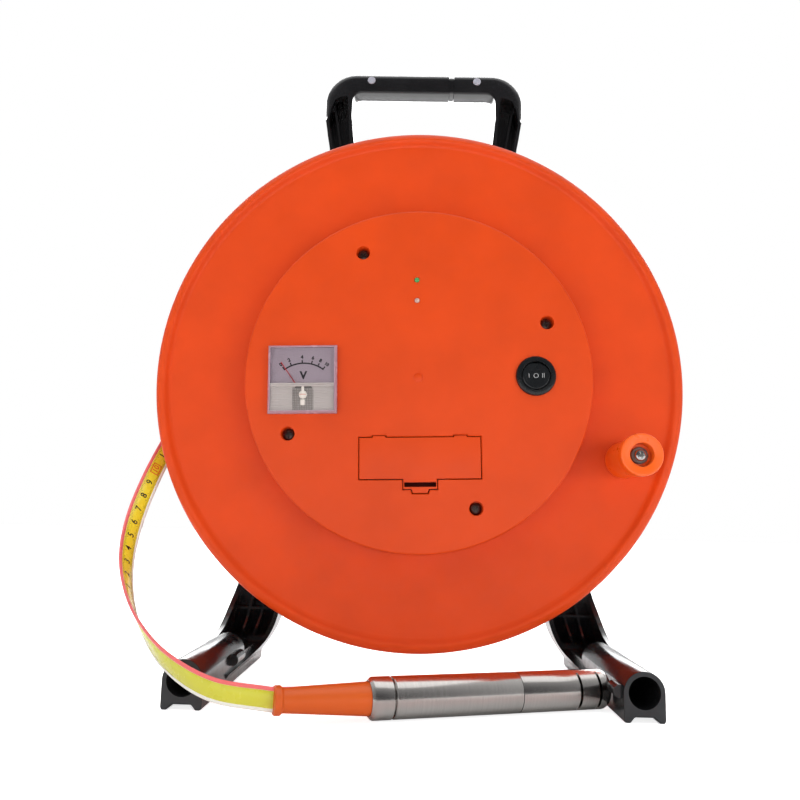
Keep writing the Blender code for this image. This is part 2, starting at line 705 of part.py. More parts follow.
def make_meter(reel, look):
    """The panel meter: clear front case, black barrel, dial, ring magnet, zero screw and the swinging needle."""
    half = METER_SIZE / 2
    low = COVER_RISE + SEAT_GAP
    high = COVER_RISE + METER_RISE
    corner = (METER_X - half, METER_Y - half, low)
    case = box("meter_case", corner, (METER_X + half, METER_Y + half, high), look["clear"], reel, bevel=0.0008)
    inner = half - METER_WALL
    hollow = box(
        "meter_case_hollow",
        (METER_X - inner, METER_Y - inner, low - 0.001),
        (METER_X + inner, METER_Y + inner, high - METER_WALL),
        None,
        reel,
    )
    zero_hole = cylinder(
        "zero_screw_hole", ZERO_SCREW_RADIUS + SEAT_GAP, high - 0.003, high + 0.001, None, reel, (PIVOT_X, PIVOT_Y), 20
    )
    cut(case, hollow, zero_hole)

    seat = low + 0.0012
    plate_half = inner - SEAT_GAP
    base = box(
        "meter_barrel",
        (METER_X - plate_half, METER_Y - plate_half, low),
        (METER_X + plate_half, METER_Y + plate_half, seat),
        look["black"],
        reel,
    )
    back = COVER_INNER - METER_BARREL_DEPTH
    drum = cylinder("meter_barrel_wall", METER_BARREL_RADIUS, back, seat - 0.0002, None, reel, (METER_X, METER_Y), 32)
    inside = METER_BARREL_RADIUS - METER_BARREL_WALL
    well = cylinder("meter_barrel_well", inside, back + METER_BARREL_WALL, seat + 0.001, None, reel, (METER_X, METER_Y), 32)
    join(base, drum)
    cut(base, well)

    dial_low = seat + SEAT_GAP
    dial = box(
        "meter_dial",
        (METER_X - plate_half, METER_Y - plate_half, dial_low),
        (METER_X + plate_half, METER_Y + plate_half, dial_low + DIAL_WALL),
        look["white"],
        reel,
    )
    staff_hole = cylinder(
        "needle_staff_hole", COIL_RADIUS * 0.6, dial_low - 0.001, dial_low + 0.002, None, reel, (PIVOT_X, PIVOT_Y), 16
    )
    cut(dial, staff_hole)

    well_floor = back + METER_BARREL_WALL
    magnet_top = seat - 0.002
    outer = inside - SEAT_GAP
    magnet = cylinder(
        "meter_magnet", outer, well_floor + SEAT_GAP, magnet_top, look["steel"], reel, (METER_X, METER_Y), 32
    )
    coil_bore = cylinder(
        "magnet_bore", COIL_RADIUS + RUN_GAP, well_floor + MAGNET_WALL, magnet_top + 0.001, None, reel, (PIVOT_X, PIVOT_Y), 20
    )
    cut(magnet, coil_bore)

    pivot = frame("needle_pivot", (PIVOT_X, PIVOT_Y, 0.0), parent=reel)
    needle_low = dial_low + DIAL_WALL + 0.0004
    coil = [
        (0.0, needle_low),
        (COIL_RADIUS * 0.35, needle_low),
        (COIL_RADIUS * 0.35, magnet_top - 0.001),
        (COIL_RADIUS, magnet_top - 0.001),
        (COIL_RADIUS, well_floor + MAGNET_WALL + SEAT_GAP),
        (0.0, well_floor + MAGNET_WALL + SEAT_GAP),
    ]
    needle = turned("meter_needle", coil, look["red"], pivot, steps=16)
    wide = NEEDLE_WIDTH / 2
    angle = math.pi / 2 + NEEDLE_REST
    along = Vector((math.cos(angle), math.sin(angle)))
    across = Vector((-along.y, along.x))
    hub = -COIL_RADIUS * 0.9
    pointer = [
        along * hub - across * wide * 2.2,
        along * 0.012 - across * wide,
        along * NEEDLE_LENGTH - across * wide * 0.6,
        along * NEEDLE_LENGTH + across * wide * 0.6,
        along * 0.012 + across * wide,
        along * hub + across * wide * 2.2,
    ]
    arm = plate("needle_arm", [[tuple(p) for p in pointer]], needle_low - 0.0001, needle_low + 0.0005, None, pivot)
    join(needle, arm)

    head = [
        (0.0, high + 0.0002),
        (ZERO_SCREW_RADIUS, high),
        (ZERO_SCREW_RADIUS, high - METER_WALL - 0.0002),
        (0.0, high - METER_WALL - 0.0002),
    ]
    zero = turned("zero_adjuster", head, look["white"], reel, (PIVOT_X, PIVOT_Y, 0.0), steps=20)
    groove = box(
        "zero_adjuster_slot",
        (PIVOT_X - 0.0004, PIVOT_Y - ZERO_SCREW_RADIUS - 0.001, high - 0.0005),
        (PIVOT_X + 0.0004, PIVOT_Y + ZERO_SCREW_RADIUS + 0.001, high + 0.001),
        None,
        reel,
    )
    cut(zero, groove)


def make_switch(reel, look):
    """The three-position rocker switch and its terminals."""
    place = (SWITCH_X, SWITCH_Y, 0.0)
    low = COVER_RISE + SEAT_GAP
    top = COVER_RISE + SWITCH_BEZEL_HEIGHT
    well = ROCKER_RADIUS + RUN_GAP
    well_floor = top - SWITCH_WELL_DEPTH
    back = COVER_INNER - SWITCH_BARREL_DEPTH
    profile = [
        (well, top - 0.0004),
        (well + 0.0006, top),
        (SWITCH_BEZEL_RADIUS - 0.0006, top),
        (SWITCH_BEZEL_RADIUS, low + 0.0006),
        (SWITCH_BEZEL_RADIUS, low),
        (SWITCH_BARREL_RADIUS, low),
        (SWITCH_BARREL_RADIUS, back),
        (0.0, back),
    ]
    profile = [(0.0, well_floor), (well, well_floor)] + profile
    body = turned("switch_body", profile, look["black"], reel, place)
    centre = top - ROCKER_THICKNESS / 2
    reach = ROCKER_RADIUS + ROCKER_PIN_REACH
    socket = rod_y("rocker_socket", ROCKER_PIN_RADIUS + SEAT_GAP, reach + SEAT_GAP, (0.0, 0.0, centre), None, None)
    socket.parent = reel
    socket.location = (SWITCH_X, SWITCH_Y, centre)
    cut(body, socket)

    pivot = frame("rocker_pivot", (SWITCH_X, SWITCH_Y, centre), parent=reel)
    thick = ROCKER_THICKNESS
    lens = [
        (0.0, thick * 0.36),
        (ROCKER_RADIUS * 0.5, thick * 0.40),
        (ROCKER_RADIUS * 0.9, thick * 0.52),
        (ROCKER_RADIUS, thick * 0.40),
        (ROCKER_RADIUS * 0.985, -thick * 0.3),
        (ROCKER_RADIUS * 0.8, -thick * 0.5),
        (0.0, -thick * 0.5),
    ]
    rocker = turned("rocker", lens, look["black"], pivot)
    pin = rod_y("rocker_pin", ROCKER_PIN_RADIUS, reach, (0.0, 0.0, 0.0), None, pivot)
    join(rocker, pin)

    for i in range(3):
        x = SWITCH_X + (i - 1) * TERMINAL_PITCH
        box(
            f"switch_terminal_{i + 1}",
            (x - TERMINAL_THICKNESS / 2, SWITCH_Y - TERMINAL_WIDTH / 2, back - SEAT_GAP - TERMINAL_LENGTH),
            (x + TERMINAL_THICKNESS / 2, SWITCH_Y + TERMINAL_WIDTH / 2, back - SEAT_GAP),
            look["brass"],
            reel,
        )


def rod_y(name, radius, half_length, place, material, parent, sides=12):
    """A cylinder along y, centred on its place."""
    mesh = bpy.data.meshes.new(name)
    shape = bmesh.new()
    bmesh.ops.create_cone(
        shape, cap_ends=True, segments=sides, radius1=radius, radius2=radius, depth=2 * half_length
    )
    shape.to_mesh(mesh)
    shape.free()
    return piece(name, mesh, material, parent, place, (math.pi / 2, 0.0, 0.0))


def make_lamps(reel, look):
    for name, y, material in (("green_lamp", GREEN_LAMP_Y, "green"), ("clear_lamp", CLEAR_LAMP_Y, "lamp")):
        collar = COVER_INNER - SEAT_GAP
        profile = [
            (0.0, COVER_RISE + LAMP_DOME),
            (LAMP_RADIUS * 0.7, COVER_RISE + LAMP_DOME * 0.7),
            (LAMP_RADIUS, COVER_RISE),
            (LAMP_RADIUS, collar),
            (LAMP_COLLAR_RADIUS, collar),
            (LAMP_COLLAR_RADIUS, collar - 0.001),
            (LAMP_RADIUS, collar - 0.001),
            (LAMP_RADIUS, -BOARD_DEPTH + SEAT_GAP),
            (0.0, -BOARD_DEPTH + SEAT_GAP),
        ]
        turned(name, profile, look[material], reel, (LAMP_X, y, 0.0), steps=12)


def board_posts():
    x = BOARD_WIDTH / 2 - 0.004
    y = BOARD_HEIGHT / 2 - 0.004
    return [(side * x, BOARD_Y + end * y) for side in (-1, 1) for end in (-1, 1)]


def make_board(reel, look):
    """The circuit board on the cover's posts, with the buzzer that sounds at the water."""
    box(
        "circuit_board",
        (-BOARD_WIDTH / 2, BOARD_Y - BOARD_HEIGHT / 2, -BOARD_DEPTH - BOARD_THICKNESS),
        (BOARD_WIDTH / 2, BOARD_Y + BOARD_HEIGHT / 2, -BOARD_DEPTH),
        look["board"],
        reel,
    )
    low = -BOARD_DEPTH + SEAT_GAP
    cylinder("buzzer", BUZZER_RADIUS, low, low + BUZZER_HEIGHT, look["black"], reel, (BUZZER_X, BOARD_Y))


def make_battery_bay(reel, look):
    """The tray behind the door, with its battery and snap connector."""
    left, bottom, right, top = door_box()
    bottom -= TAB_HEIGHT
    high = COVER_INNER - SEAT_GAP
    reach = LUG_REACH + 0.0015
    deep = high - BATTERY_DEPTH - 2 * BAY_MARGIN - BAY_WALL - LUG_WALL - 0.002
    outer_low = (left - BAY_WALL, bottom - BAY_WALL, deep)
    outer_high = (right + BAY_WALL, top + reach + BAY_WALL, high)
    tray = box("battery_tray", outer_low, outer_high, look["black"], reel)
    hollow = box(
        "battery_tray_hollow",
        (left, bottom, deep + BAY_WALL),
        (right, top + reach, high + 0.001),
        None,
        reel,
    )
    cut(tray, hollow)
    floor = deep + BAY_WALL + SEAT_GAP
    start = left + SNAP_THICKNESS + 2 * SEAT_GAP
    battery = box(
        "battery",
        (start, bottom + SEAT_GAP, floor),
        (start + BATTERY_LENGTH, bottom + SEAT_GAP + BATTERY_HEIGHT, floor + BATTERY_DEPTH),
        look["battery"],
        reel,
        bevel=0.001,
    )
    box(
        "battery_snap",
        (left + SEAT_GAP, bottom + SEAT_GAP, floor),
        (left + SEAT_GAP + SNAP_THICKNESS, bottom + SEAT_GAP + BATTERY_HEIGHT, floor + BATTERY_DEPTH),
        look["black"],
        reel,
    )
    return battery


def make_knob(reel, look):
    """The crank knob, turning on a shouldered bolt that is nutted behind the flange."""
    face = -LIP_HEIGHT
    base = face + SEAT_GAP
    floor = KNOB_REACH - KNOB_RECESS_DEPTH
    pivot = frame("knob_axis", (*polar(KNOB_CIRCLE, KNOB_ANGLE), 0.0), parent=reel)
    bore = KNOB_BOLT_RADIUS + RUN_GAP
    profile = [
        (KNOB_RECESS_RADIUS, KNOB_REACH - 0.0006),
        (KNOB_RECESS_RADIUS + 0.0006, KNOB_REACH),
        (KNOB_TIP_RADIUS - 0.0016, KNOB_REACH),
        (KNOB_TIP_RADIUS - 0.0004, KNOB_REACH - 0.0006),
        (KNOB_TIP_RADIUS, KNOB_REACH - 0.002),
        (KNOB_TIP_RADIUS, KNOB_REACH - 0.006),
        (KNOB_NECK_RADIUS, 0.012),
        (KNOB_NECK_RADIUS, 0.004),
        (KNOB_BASE_RADIUS, base + 0.0025),
        (KNOB_BASE_RADIUS, base),
        (bore, base),
        (bore, floor),
        (KNOB_RECESS_RADIUS, floor),
    ]
    turned("crank_knob", profile, look["orange"], pivot, ring=True, steps=28)
    bush_top = floor + SEAT_GAP + KNOB_BUSH_HEIGHT
    bush = [
        (KNOB_BOLT_RADIUS + SEAT_GAP, bush_top),
        (KNOB_BUSH_RADIUS - 0.0004, bush_top),
        (KNOB_BUSH_RADIUS, bush_top - 0.0005),
        (KNOB_BUSH_RADIUS, floor + SEAT_GAP),
        (KNOB_BOLT_RADIUS + SEAT_GAP, floor + SEAT_GAP),
    ]
    turned("knob_bush", bush, look["grey"], pivot, ring=True, steps=20)
    seat = bush_top + SEAT_GAP
    head = seat + KNOB_BOLT_HEAD_HEIGHT
    end = -FLANGE_BACK - SEAT_GAP - KNOB_NUT_HEIGHT - 0.0008
    bolt = [
        (0.0, head - 0.001),
        (KNOB_BOLT_HEAD_RADIUS * 0.45, head - 0.001),
        (KNOB_BOLT_HEAD_RADIUS * 0.45, head),
        (KNOB_BOLT_HEAD_RADIUS * 0.85, head),
        (KNOB_BOLT_HEAD_RADIUS, head - 0.0005),
        (KNOB_BOLT_HEAD_RADIUS, seat),
        (KNOB_BOLT_RADIUS, seat),
        (KNOB_BOLT_RADIUS, end + 0.0004),
        (KNOB_BOLT_RADIUS - 0.0004, end),
        (0.0, end),
    ]
    turned("knob_bolt", bolt, look["steel"], pivot, steps=16)
    nut = cylinder(
        "knob_nut",
        KNOB_NUT_RADIUS,
        -FLANGE_BACK - SEAT_GAP - KNOB_NUT_HEIGHT,
        -FLANGE_BACK - SEAT_GAP,
        look["steel"],
        pivot,
        sides=6,
    )
    thread = cylinder("knob_nut_bore", KNOB_BOLT_RADIUS + SEAT_GAP, -KNOB_REACH, 0.0, None, pivot)
    cut(nut, thread)


def make_winding(reel, look):
    """The wound tape as one solid between the flanges."""
    front = -FLANGE_BACK - SEAT_GAP
    back = -REAR_FLANGE_FRONT + SEAT_GAP
    inner = CORE_RADIUS + SEAT_GAP
    profile = [(inner, front), (WINDING_RADIUS, front), (WINDING_RADIUS, back), (inner, back)]
    return turned("tape_winding", profile, look["tape"], reel, ring=True, steps=ROUND_LARGE)


def make_hub(reel, axle_frame, look):
    """Bushes in the reel; axle, nut, washer and retaining screw on the stand."""
    bore = AXLE_RADIUS + RUN_GAP
    outer = bore + BUSH_WALL
    collar = outer + HUB_WALL * 0.7
    front = -HUB_FRONT_DEPTH
    back = -HUB_BACK_DEPTH
    front_bush = [
        (bore, front + BUSH_COLLAR + SEAT_GAP),
        (collar, front + BUSH_COLLAR + SEAT_GAP),
        (collar, front + SEAT_GAP),
        (outer, front + SEAT_GAP),
        (outer, front - BUSH_LENGTH),
        (bore, front - BUSH_LENGTH),
    ]
    turned("hub_bush_front", front_bush, look["grey"], reel, ring=True, steps=ROUND_MEDIUM)
    rear_bush = [
        (bore, back + BUSH_LENGTH),
        (outer, back + BUSH_LENGTH),
        (outer, back - SEAT_GAP),
        (collar, back - SEAT_GAP),
        (collar, back - SEAT_GAP - BUSH_COLLAR),
        (bore, back - SEAT_GAP - BUSH_COLLAR),
    ]
    turned("hub_bush_rear", rear_bush, look["grey"], reel, ring=True, steps=ROUND_MEDIUM)

    nose = front + BUSH_COLLAR + SEAT_GAP
    head_back = -LEG_BACK - SEAT_GAP - AXLE_HEAD_THICKNESS
    axle = [
        (0.0, nose),
        (AXLE_RADIUS - 0.0006, nose),
        (AXLE_RADIUS, nose - 0.0006),
        (AXLE_RADIUS, -LEG_BACK - SEAT_GAP),
        (AXLE_HEAD_RADIUS, -LEG_BACK - SEAT_GAP),
        (AXLE_HEAD_RADIUS, head_back + 0.001),
        (AXLE_HEAD_RADIUS - 0.001, head_back),
        (0.0, head_back),
    ]
    shaft = turned("axle", axle, look["steel"], axle_frame, steps=ROUND_MEDIUM)
    tapped = cylinder("axle_screw_hole", 0.0028, nose - 0.013, nose + 0.001, None, axle_frame, sides=12)
    cut(shaft, tapped)
    nut_back = -hub_boss_front() + SEAT_GAP
    nut = cylinder(
        "axle_nut", AXLE_NUT_RADIUS, nut_back, nut_back + AXLE_NUT_THICKNESS, look["steel"], axle_frame, sides=6
    )
    cut(nut, cylinder("axle_nut_bore", AXLE_RADIUS + SEAT_GAP, -2 * LEG_BACK, 0.0, None, axle_frame, sides=32))
    washer_low = nose + SEAT_GAP
    washer = [
        (0.0030, washer_low + AXLE_WASHER_THICKNESS),
        (AXLE_WASHER_RADIUS, washer_low + AXLE_WASHER_THICKNESS),
        (AXLE_WASHER_RADIUS, washer_low),
        (0.0030, washer_low),
    ]
    turned("axle_washer", washer, look["steel"], axle_frame, ring=True, steps=24)
    seat = washer_low + AXLE_WASHER_THICKNESS + SEAT_GAP
    screw = [
        (0.0, seat + 0.0032),
        (0.0040, seat + 0.0028),
        (0.0048, seat + 0.0012),
        (0.0048, seat),
        (0.0025, seat),
        (0.0025, nose - AXLE_SCREW_DEPTH),
        (0.0, nose - AXLE_SCREW_DEPTH),
    ]
    turned("axle_screw", screw, look["steel"], axle_frame, steps=16)


def hub_boss_front():
    """Depth of the stand's boss face: the rear bush, a running gap and the nut lie in front of it."""
    return HUB_BACK_DEPTH + 2 * SEAT_GAP + BUSH_COLLAR + RUN_GAP + AXLE_NUT_THICKNESS


def leg_edges(height):
    """Outer and inner x of the right leg at a height, by straight lines between the listed stations."""
    stations = list(LEG_FOOT_EDGES)
    stations.append((WAIST_HEIGHT, WAIST_OUTER, WAIST_INNER))
    stations.append((HANDLE_TOP - HANDLE_SHOULDER, HANDLE_HALF_WIDTH - 0.0002, GRIP_OPENING_HALF_WIDTH + 0.0002))
    if height <= stations[0][0]:
        return stations[0][1], stations[0][2]
    for low, high in zip(stations, stations[1:]):
        if height <= high[0]:
            share = (height - low[0]) / (high[0] - low[0])
            return low[1] + (high[1] - low[1]) * share, low[2] + (high[2] - low[2]) * share
    return stations[-1][1], stations[-1][2]


def both_sides(points):
    """A contour from its right half, listed from the bottom middle up to the top middle."""
    return points + [(-x, y) for x, y in reversed(points)]


def stand_outline():
    """The legs and bars: outside up to the grip, and inside down from the hub bar to the feet."""
    heights = [station[0] for station in LEG_FOOT_EDGES]
    bar = AXLE_HEIGHT - HUB_BAR_HALF_HEIGHT
    right = [(leg_edges(bar)[1], bar)]
    right += [(leg_edges(h)[1], h) for h in reversed(heights)]
    right += [(leg_edges(h)[0], h) for h in heights]
    top = grip_low() + GRIP_EDGE
    right += [(leg_edges(WAIST_HEIGHT)[0], WAIST_HEIGHT), (leg_edges(top)[0], top)]
    right += [(leg_edges(top)[1], top), (leg_edges(WAIST_HEIGHT)[1], WAIST_HEIGHT)]
    low = opening_bottom()
    right += [(leg_edges(low)[1], low)]
    return both_sides(right)


def opening_bottom():
    return HANDLE_TOP - GRIP_HEIGHT - GRIP_OPENING_DROP


def hub_window():
    """The window between the hub bar and the tie bar."""
    low = AXLE_HEIGHT + HUB_BAR_HALF_HEIGHT
    high = opening_bottom() - TIE_HEIGHT
    return both_sides([(leg_edges(low)[1], low), (leg_edges(high)[1], high)])


def grip_low():
    return HANDLE_TOP - GRIP_HEIGHT - GRIP_LEG


def grip_section():
    """The grip's section as (share of the way in, depth), round and squared off, point by point."""
    depth = LEG_BACK - LEG_FRONT + 2 * GRIP_SWELL
    inward = GRIP_ROUNDING / GRIP_HEIGHT
    front = [(inward * (1 - math.cos(a)), GRIP_ROUNDING * (1 - math.sin(a))) for a in (0.0, 0.52, 1.05, math.pi / 2)]
    square = [(0.0, GRIP_ROUNDING), (0.0, GRIP_ROUNDING / 2), (0.0, 0.0), (inward, 0.0)]
    front.append((1 - GRIP_EDGE / GRIP_HEIGHT, 0.0))
    square.append((1 - GRIP_EDGE / GRIP_HEIGHT, 0.0))
    for inward, back in GRIP_BACK:
        front.append((inward, back * depth))
        square.append((1.0 if back < 1 else inward, (1.0 if inward < 0.7 else back) * depth))
    front += [(0.10, depth * 0.93), (0.0, depth * 0.75)]
    square += [(0.0, depth), (0.0, depth * 0.75)]
    return front, square


def grip_stations():
    """Outer and inner points of the right half of the bow from the leg up, with how round its section is."""
    top = HANDLE_TOP
    low = grip_low()
    shoulder = top - HANDLE_SHOULDER
    stations = []
    for height, share in ((low, 0.0), (shoulder, 0.55)):
        x_out, x_in = leg_edges(height)
        stations.append(((x_out + GRIP_SWELL, height), (x_in - GRIP_SWELL, height), share))
    centre = (HANDLE_HALF_WIDTH - HANDLE_CORNER, top - HANDLE_CORNER)
    inner = (GRIP_OPENING_HALF_WIDTH - GRIP_CORNER, top - GRIP_HEIGHT - GRIP_CORNER)
    for outside, inside in zip(arc(centre, HANDLE_CORNER, 0, 90, 8), arc(inner, GRIP_CORNER, 0, 90, 8)):
        stations.append((outside, inside, 1.0))
    return stations


def make_bow():
    """The grip with its rounded corners and the tops of the handle's legs, swept from leg to leg."""
    stations = grip_stations()
    stations += [((-a, b), (-c, d), share) for (a, b), (c, d), share in reversed(stations)]
    section, square = grip_section()
    shape = bmesh.new()
    loops = []
    for (outer_x, outer_z), (inner_x, inner_z), share in stations:
        loop = []
        for (in_a, depth_a), (in_b, depth_b) in zip(section, square):
            inward = in_a * share + in_b * (1 - share)
            depth = depth_a * share + depth_b * (1 - share)
            x = outer_x + (inner_x - outer_x) * inward
            z = outer_z + (inner_z - outer_z) * inward
            loop.append(shape.verts.new((x, RIM_Y + LEG_FRONT - GRIP_SWELL + depth, z)))
        loops.append(loop)
    for before, after in zip(loops, loops[1:]):
        for i in range(len(before)):
            j = (i + 1) % len(before)
            shape.faces.new((before[i], before[j], after[j], after[i]))
    shape.faces.new(loops[0])
    shape.faces.new(loops[-1][::-1])
    bmesh.ops.triangulate(shape, faces=shape.faces)
    bmesh.ops.recalc_face_normals(shape, faces=shape.faces)
    mesh = bpy.data.meshes.new("handle_bow")
    shape.to_mesh(mesh)
    shape.free()
    return piece("handle_bow", mesh, None, None)


def pocket_top():
    """The outer edge of the right leg's top pocket, from the waist up and over."""
    return [(HANDLE_HALF_WIDTH - inward, HANDLE_TOP - down) for inward, down in POCKET_TOP]


def top_cells():
    """The top pocket in two, on both sides of a fin that leans out to the leg's outer wall."""
    low = opening_bottom() - TIE_HEIGHT + RIB_WALL / 2
    half = RIB_WALL / 2
    outline = pocket_top()
    fin = []
    for height in (low, WAIST_HEIGHT):
        x_out, x_in = leg_edges(height)
        fin.append(((x_out + x_in) / 2, height))
    fin.append((HANDLE_HALF_WIDTH - FIN_TOP[0], HANDLE_TOP - FIN_TOP[1]))
    wall = LEG_WALL + 0.0002
    outer = [(x + half, y) for x, y in fin[:2]] + [(fin[2][0] - half, fin[2][1] - 0.004)]
    outer += [outline[2], outline[1], outline[0]]
    outer += [(leg_edges(h)[0] - wall, h) for h in (WAIST_HEIGHT, low)]
    inner = [(leg_edges(h)[1] + wall, h) for h in (low, WAIST_HEIGHT)]
    inner += [(outline[-1][0], outline[-1][1] - 0.004)]
    inner += outline[:2:-1]
    inner += [(fin[2][0] - 2 * half, fin[2][1])] + [(x - half, y) for x, y in reversed(fin[:2])]
    return [outer, inner]


def span_loop(heights, column, columns, inset, rib):
    """One pocket of the right leg between its walls, as a closed loop over these heights."""
    outer = []
    inner = []
    for height in heights:
        x_out, x_in = leg_edges(height)
        x_out -= inset
        x_in += inset
        pitch = (x_out - x_in) / columns
        inner.append((x_in + pitch * column + (rib / 2 if column else 0.0), height))
        last = column == columns - 1
        outer.append((x_in + pitch * (column + 1) - (0.0 if last else rib / 2), height))
    return outer + inner[::-1]


def foot_heights():
    """Heights of the leg's stations below its lowest rib."""
    return [station[0] + 0.0012 for station in LEG_FOOT_EDGES if station[0] + 0.002 < LOW_RIBS[0]]


def leg_cells():
    """The pockets between the right leg's walls and ribs."""
    bar = AXLE_HEIGHT
    breaks = [*LOW_RIBS, bar - HUB_BAR_HALF_HEIGHT, bar + HUB_BAR_HALF_HEIGHT, HIGH_RIB]
    breaks.append(opening_bottom() - TIE_HEIGHT)
    half = RIB_WALL / 2
    spans = [foot_heights() + [breaks[0] - half]]
    for low, high in zip(breaks, breaks[1:]):
        spans.append([low + half, high - half])
    cells = [span_loop(span, column, 3, LEG_WALL + 0.0002, RIB_WALL) for span in spans for column in range(3)]
    return cells + top_cells()


def leg_channel():
    """The right leg's whole hollow in front of its ribs."""
    heights = foot_heights() + [LOW_RIBS[0], LEG_FOOT_EDGES[-1][0], WAIST_HEIGHT]
    loop = span_loop(heights, 0, 1, LEG_WALL, 0.0)
    middle = len(heights)
    return [loop[:middle] + pocket_top() + loop[middle:]]


def hub_bar_cells():
    """Pockets in the bar that joins the legs at the axle."""
    cells = []
    edge = AXLE_HEIGHT - HUB_BAR_HALF_HEIGHT
    for low, high in ((edge + LEG_WALL, AXLE_HEIGHT - RIB_WALL), (AXLE_HEIGHT + RIB_WALL, 2 * AXLE_HEIGHT - edge - LEG_WALL)):
        inner = HUB_BOSS_RADIUS + 0.004
        cells.append([(inner, low), (leg_edges(low)[1] - 0.001, low), (leg_edges(high)[1] - 0.001, high), (inner, high)])
    return cells


def mirrored(cells):
    return cells + [[(-x, y) for x, y in reversed(cell)] for cell in cells]


def side_plate(name, outline, half_width, material, parent, x=0.0):
    """An outline of (depth, height) points, solid across x."""
    mesh = outline_mesh(name, [outline], 2 * half_width)
    return piece(name, mesh, material, parent, (x, RIM_Y, 0.0), (math.pi / 2, 0.0, math.pi / 2))


def sole_outline(centre):
    """Section of a foot: a round top over two ridges."""
    r = TUBE_RADIUS
    points = [(-r, 0.0012), (-RIDGE_OFFSET - RIDGE_WIDTH / 2, 0.0), (-RIDGE_OFFSET + RIDGE_WIDTH / 2, 0.0)]
    points += [(-RIDGE_OFFSET + RIDGE_WIDTH / 2 + 0.0022, SOLE_HOLLOW)]
    points += [(-x, y) for x, y in reversed(points)]
    points += arc((0.0, TUBE_HEIGHT), r, 0, 180, 13)
    return [(centre + x, y) for x, y in points]


def web_region(name, forward):
    """Everything in front of the leg's web, or that far in front of it."""
    top = HANDLE_TOP + LEG_WALL
    points = [(LEG_BACK - WEB_WALL - forward, top)] + [(depth - forward, height) for depth, height in WEB_SWEEP]
    points += [(WEB_SWEEP[-1][0] - forward, 0.0), (-0.09, 0.0), (-0.09, top)]
    return side_plate(name, points, FLANGE_RADIUS, None, None)


def make_stand(look):
    """The one-piece moulded stand: handle, ribbed legs open to the front, hub bar and tubular feet."""
    face = frame("stand_face", (0.0, RIM_Y, 0.0), (math.pi / 2, 0.0, 0.0))
    back = -LEG_BACK
    front = -LEG_SWEEP[-1][0]
    item = plate("stand", [stand_outline(), hub_window()], back, front, look["black"], face)
    top = HANDLE_TOP + LEG_WALL
    side = [(LEG_BACK + 0.001, 0.003), (LEG_BACK + 0.001, top), (LEG_FRONT, top)] + list(INNER_SWEEP)
    side += [(-front - 0.001, INNER_SWEEP[-1][1]), (-front - 0.001, 0.003)]
    region = side_plate("leg_side", side, FLANGE_RADIUS, None, None)
    swept = [(LEG_FRONT + 0.004, 0.004), (LEG_FRONT + 0.004, LEG_SWEEP[0][1] - 0.0005), (LEG_FRONT - 0.0002, LEG_SWEEP[0][1] - 0.0005)]
    swept += list(LEG_SWEEP[1:-1]) + [(-front + 0.0005, LEG_SWEEP[-1][1]), (-front + 0.0005, 0.004)]
    half = (FLANGE_RADIUS - OUTER_WALL_FROM) / 2 - 0.001
    for side_sign in (-1, 1):
        x = side_sign * (OUTER_WALL_FROM + half)
        join(region, side_plate(f"outer_side_{side_sign}", swept, half, None, None, x))
    keep_inside(item, region)

    bow = make_bow()
    join(item, bow)

    cells = plate("leg_cells", mirrored(leg_cells() + hub_bar_cells()), back - WEB_WALL, LEG_BACK, None, face)
    keep_inside(cells, web_region("web_side", 0.0))
    channel = plate("leg_channel", mirrored(leg_channel()), back - WEB_WALL, LEG_BACK, None, face)
    keep_inside(channel, web_region("rib_side", RIB_DEPTH))
    cut(item, cells, channel)

    for side_sign, (near, far) in ((1, RIGHT_STUB), (-1, LEFT_STUB)):
        centre = side_sign * FOOT_CENTRE
        stub_x = side_sign * (FOOT_CENTRE - TUBE_RADIUS - STUB_RADIUS * 0.3)
        foot = plate(f"foot_{side_sign}", [sole_outline(centre)], back + 0.0001, -FOOT_FRONT, None, face)
        above = rectangle(centre - 2 * TUBE_RADIUS, FOOT_BASE_HEIGHT, centre + 2 * TUBE_RADIUS, 2 * TUBE_HEIGHT)
        cut(foot, plate(f"foot_above_{side_sign}", [above], back - WEB_WALL, -TUBE_END, None, face))
        stub = cylinder(f"foot_stub_{side_sign}", STUB_RADIUS, -far, -near, None, face, (stub_x, TUBE_HEIGHT), 12)
        join(item, foot, stub)

    axle_place = (0.0, AXLE_HEIGHT)
    boss = cylinder("hub_boss", HUB_BOSS_RADIUS, back + 0.0001, -hub_boss_front(), None, face, axle_place, 32)
    relief = cylinder("hub_relief", HUB_BOSS_RADIUS + 0.003, -hub_boss_front(), 0.0, None, face, axle_place, 32)
    axle_hole = cylinder("axle_hole", AXLE_RADIUS + SEAT_GAP, back - 0.001, 0.0, None, face, axle_place, 32)
    join(item, boss)
    cut(item, relief, axle_hole)
    for side_sign in (-1, 1):
        place = (side_sign * FOOT_CENTRE, TUBE_HEIGHT)
        bore = cylinder(
            f"foot_bore_{side_sign}", BORE_RADIUS, -FOOT_FRONT - BORE_DEPTH, -FOOT_FRONT + 0.001, None, face, place, 24
        )
        cut(item, bore)
    smooth(item, 30.0)
    return item


def catmull(points, steps):
    """A smooth curve through the points, with this many steps between two of them."""
    ends = [2 * points[0] - points[1]] + list(points) + [2 * points[-1] - points[-2]]
    curve = []
    for a, b, c, d in zip(ends, ends[1:], ends[2:], ends[3:]):
        for i in range(steps):
            t = i / steps
            curve.append(0.5 * (2 * b + (c - a) * t + (2 * a - 5 * b + 4 * c - d) * t**2 + (3 * b - a - 3 * c + d) * t**3))
    curve.append(points[-1])
    return curve


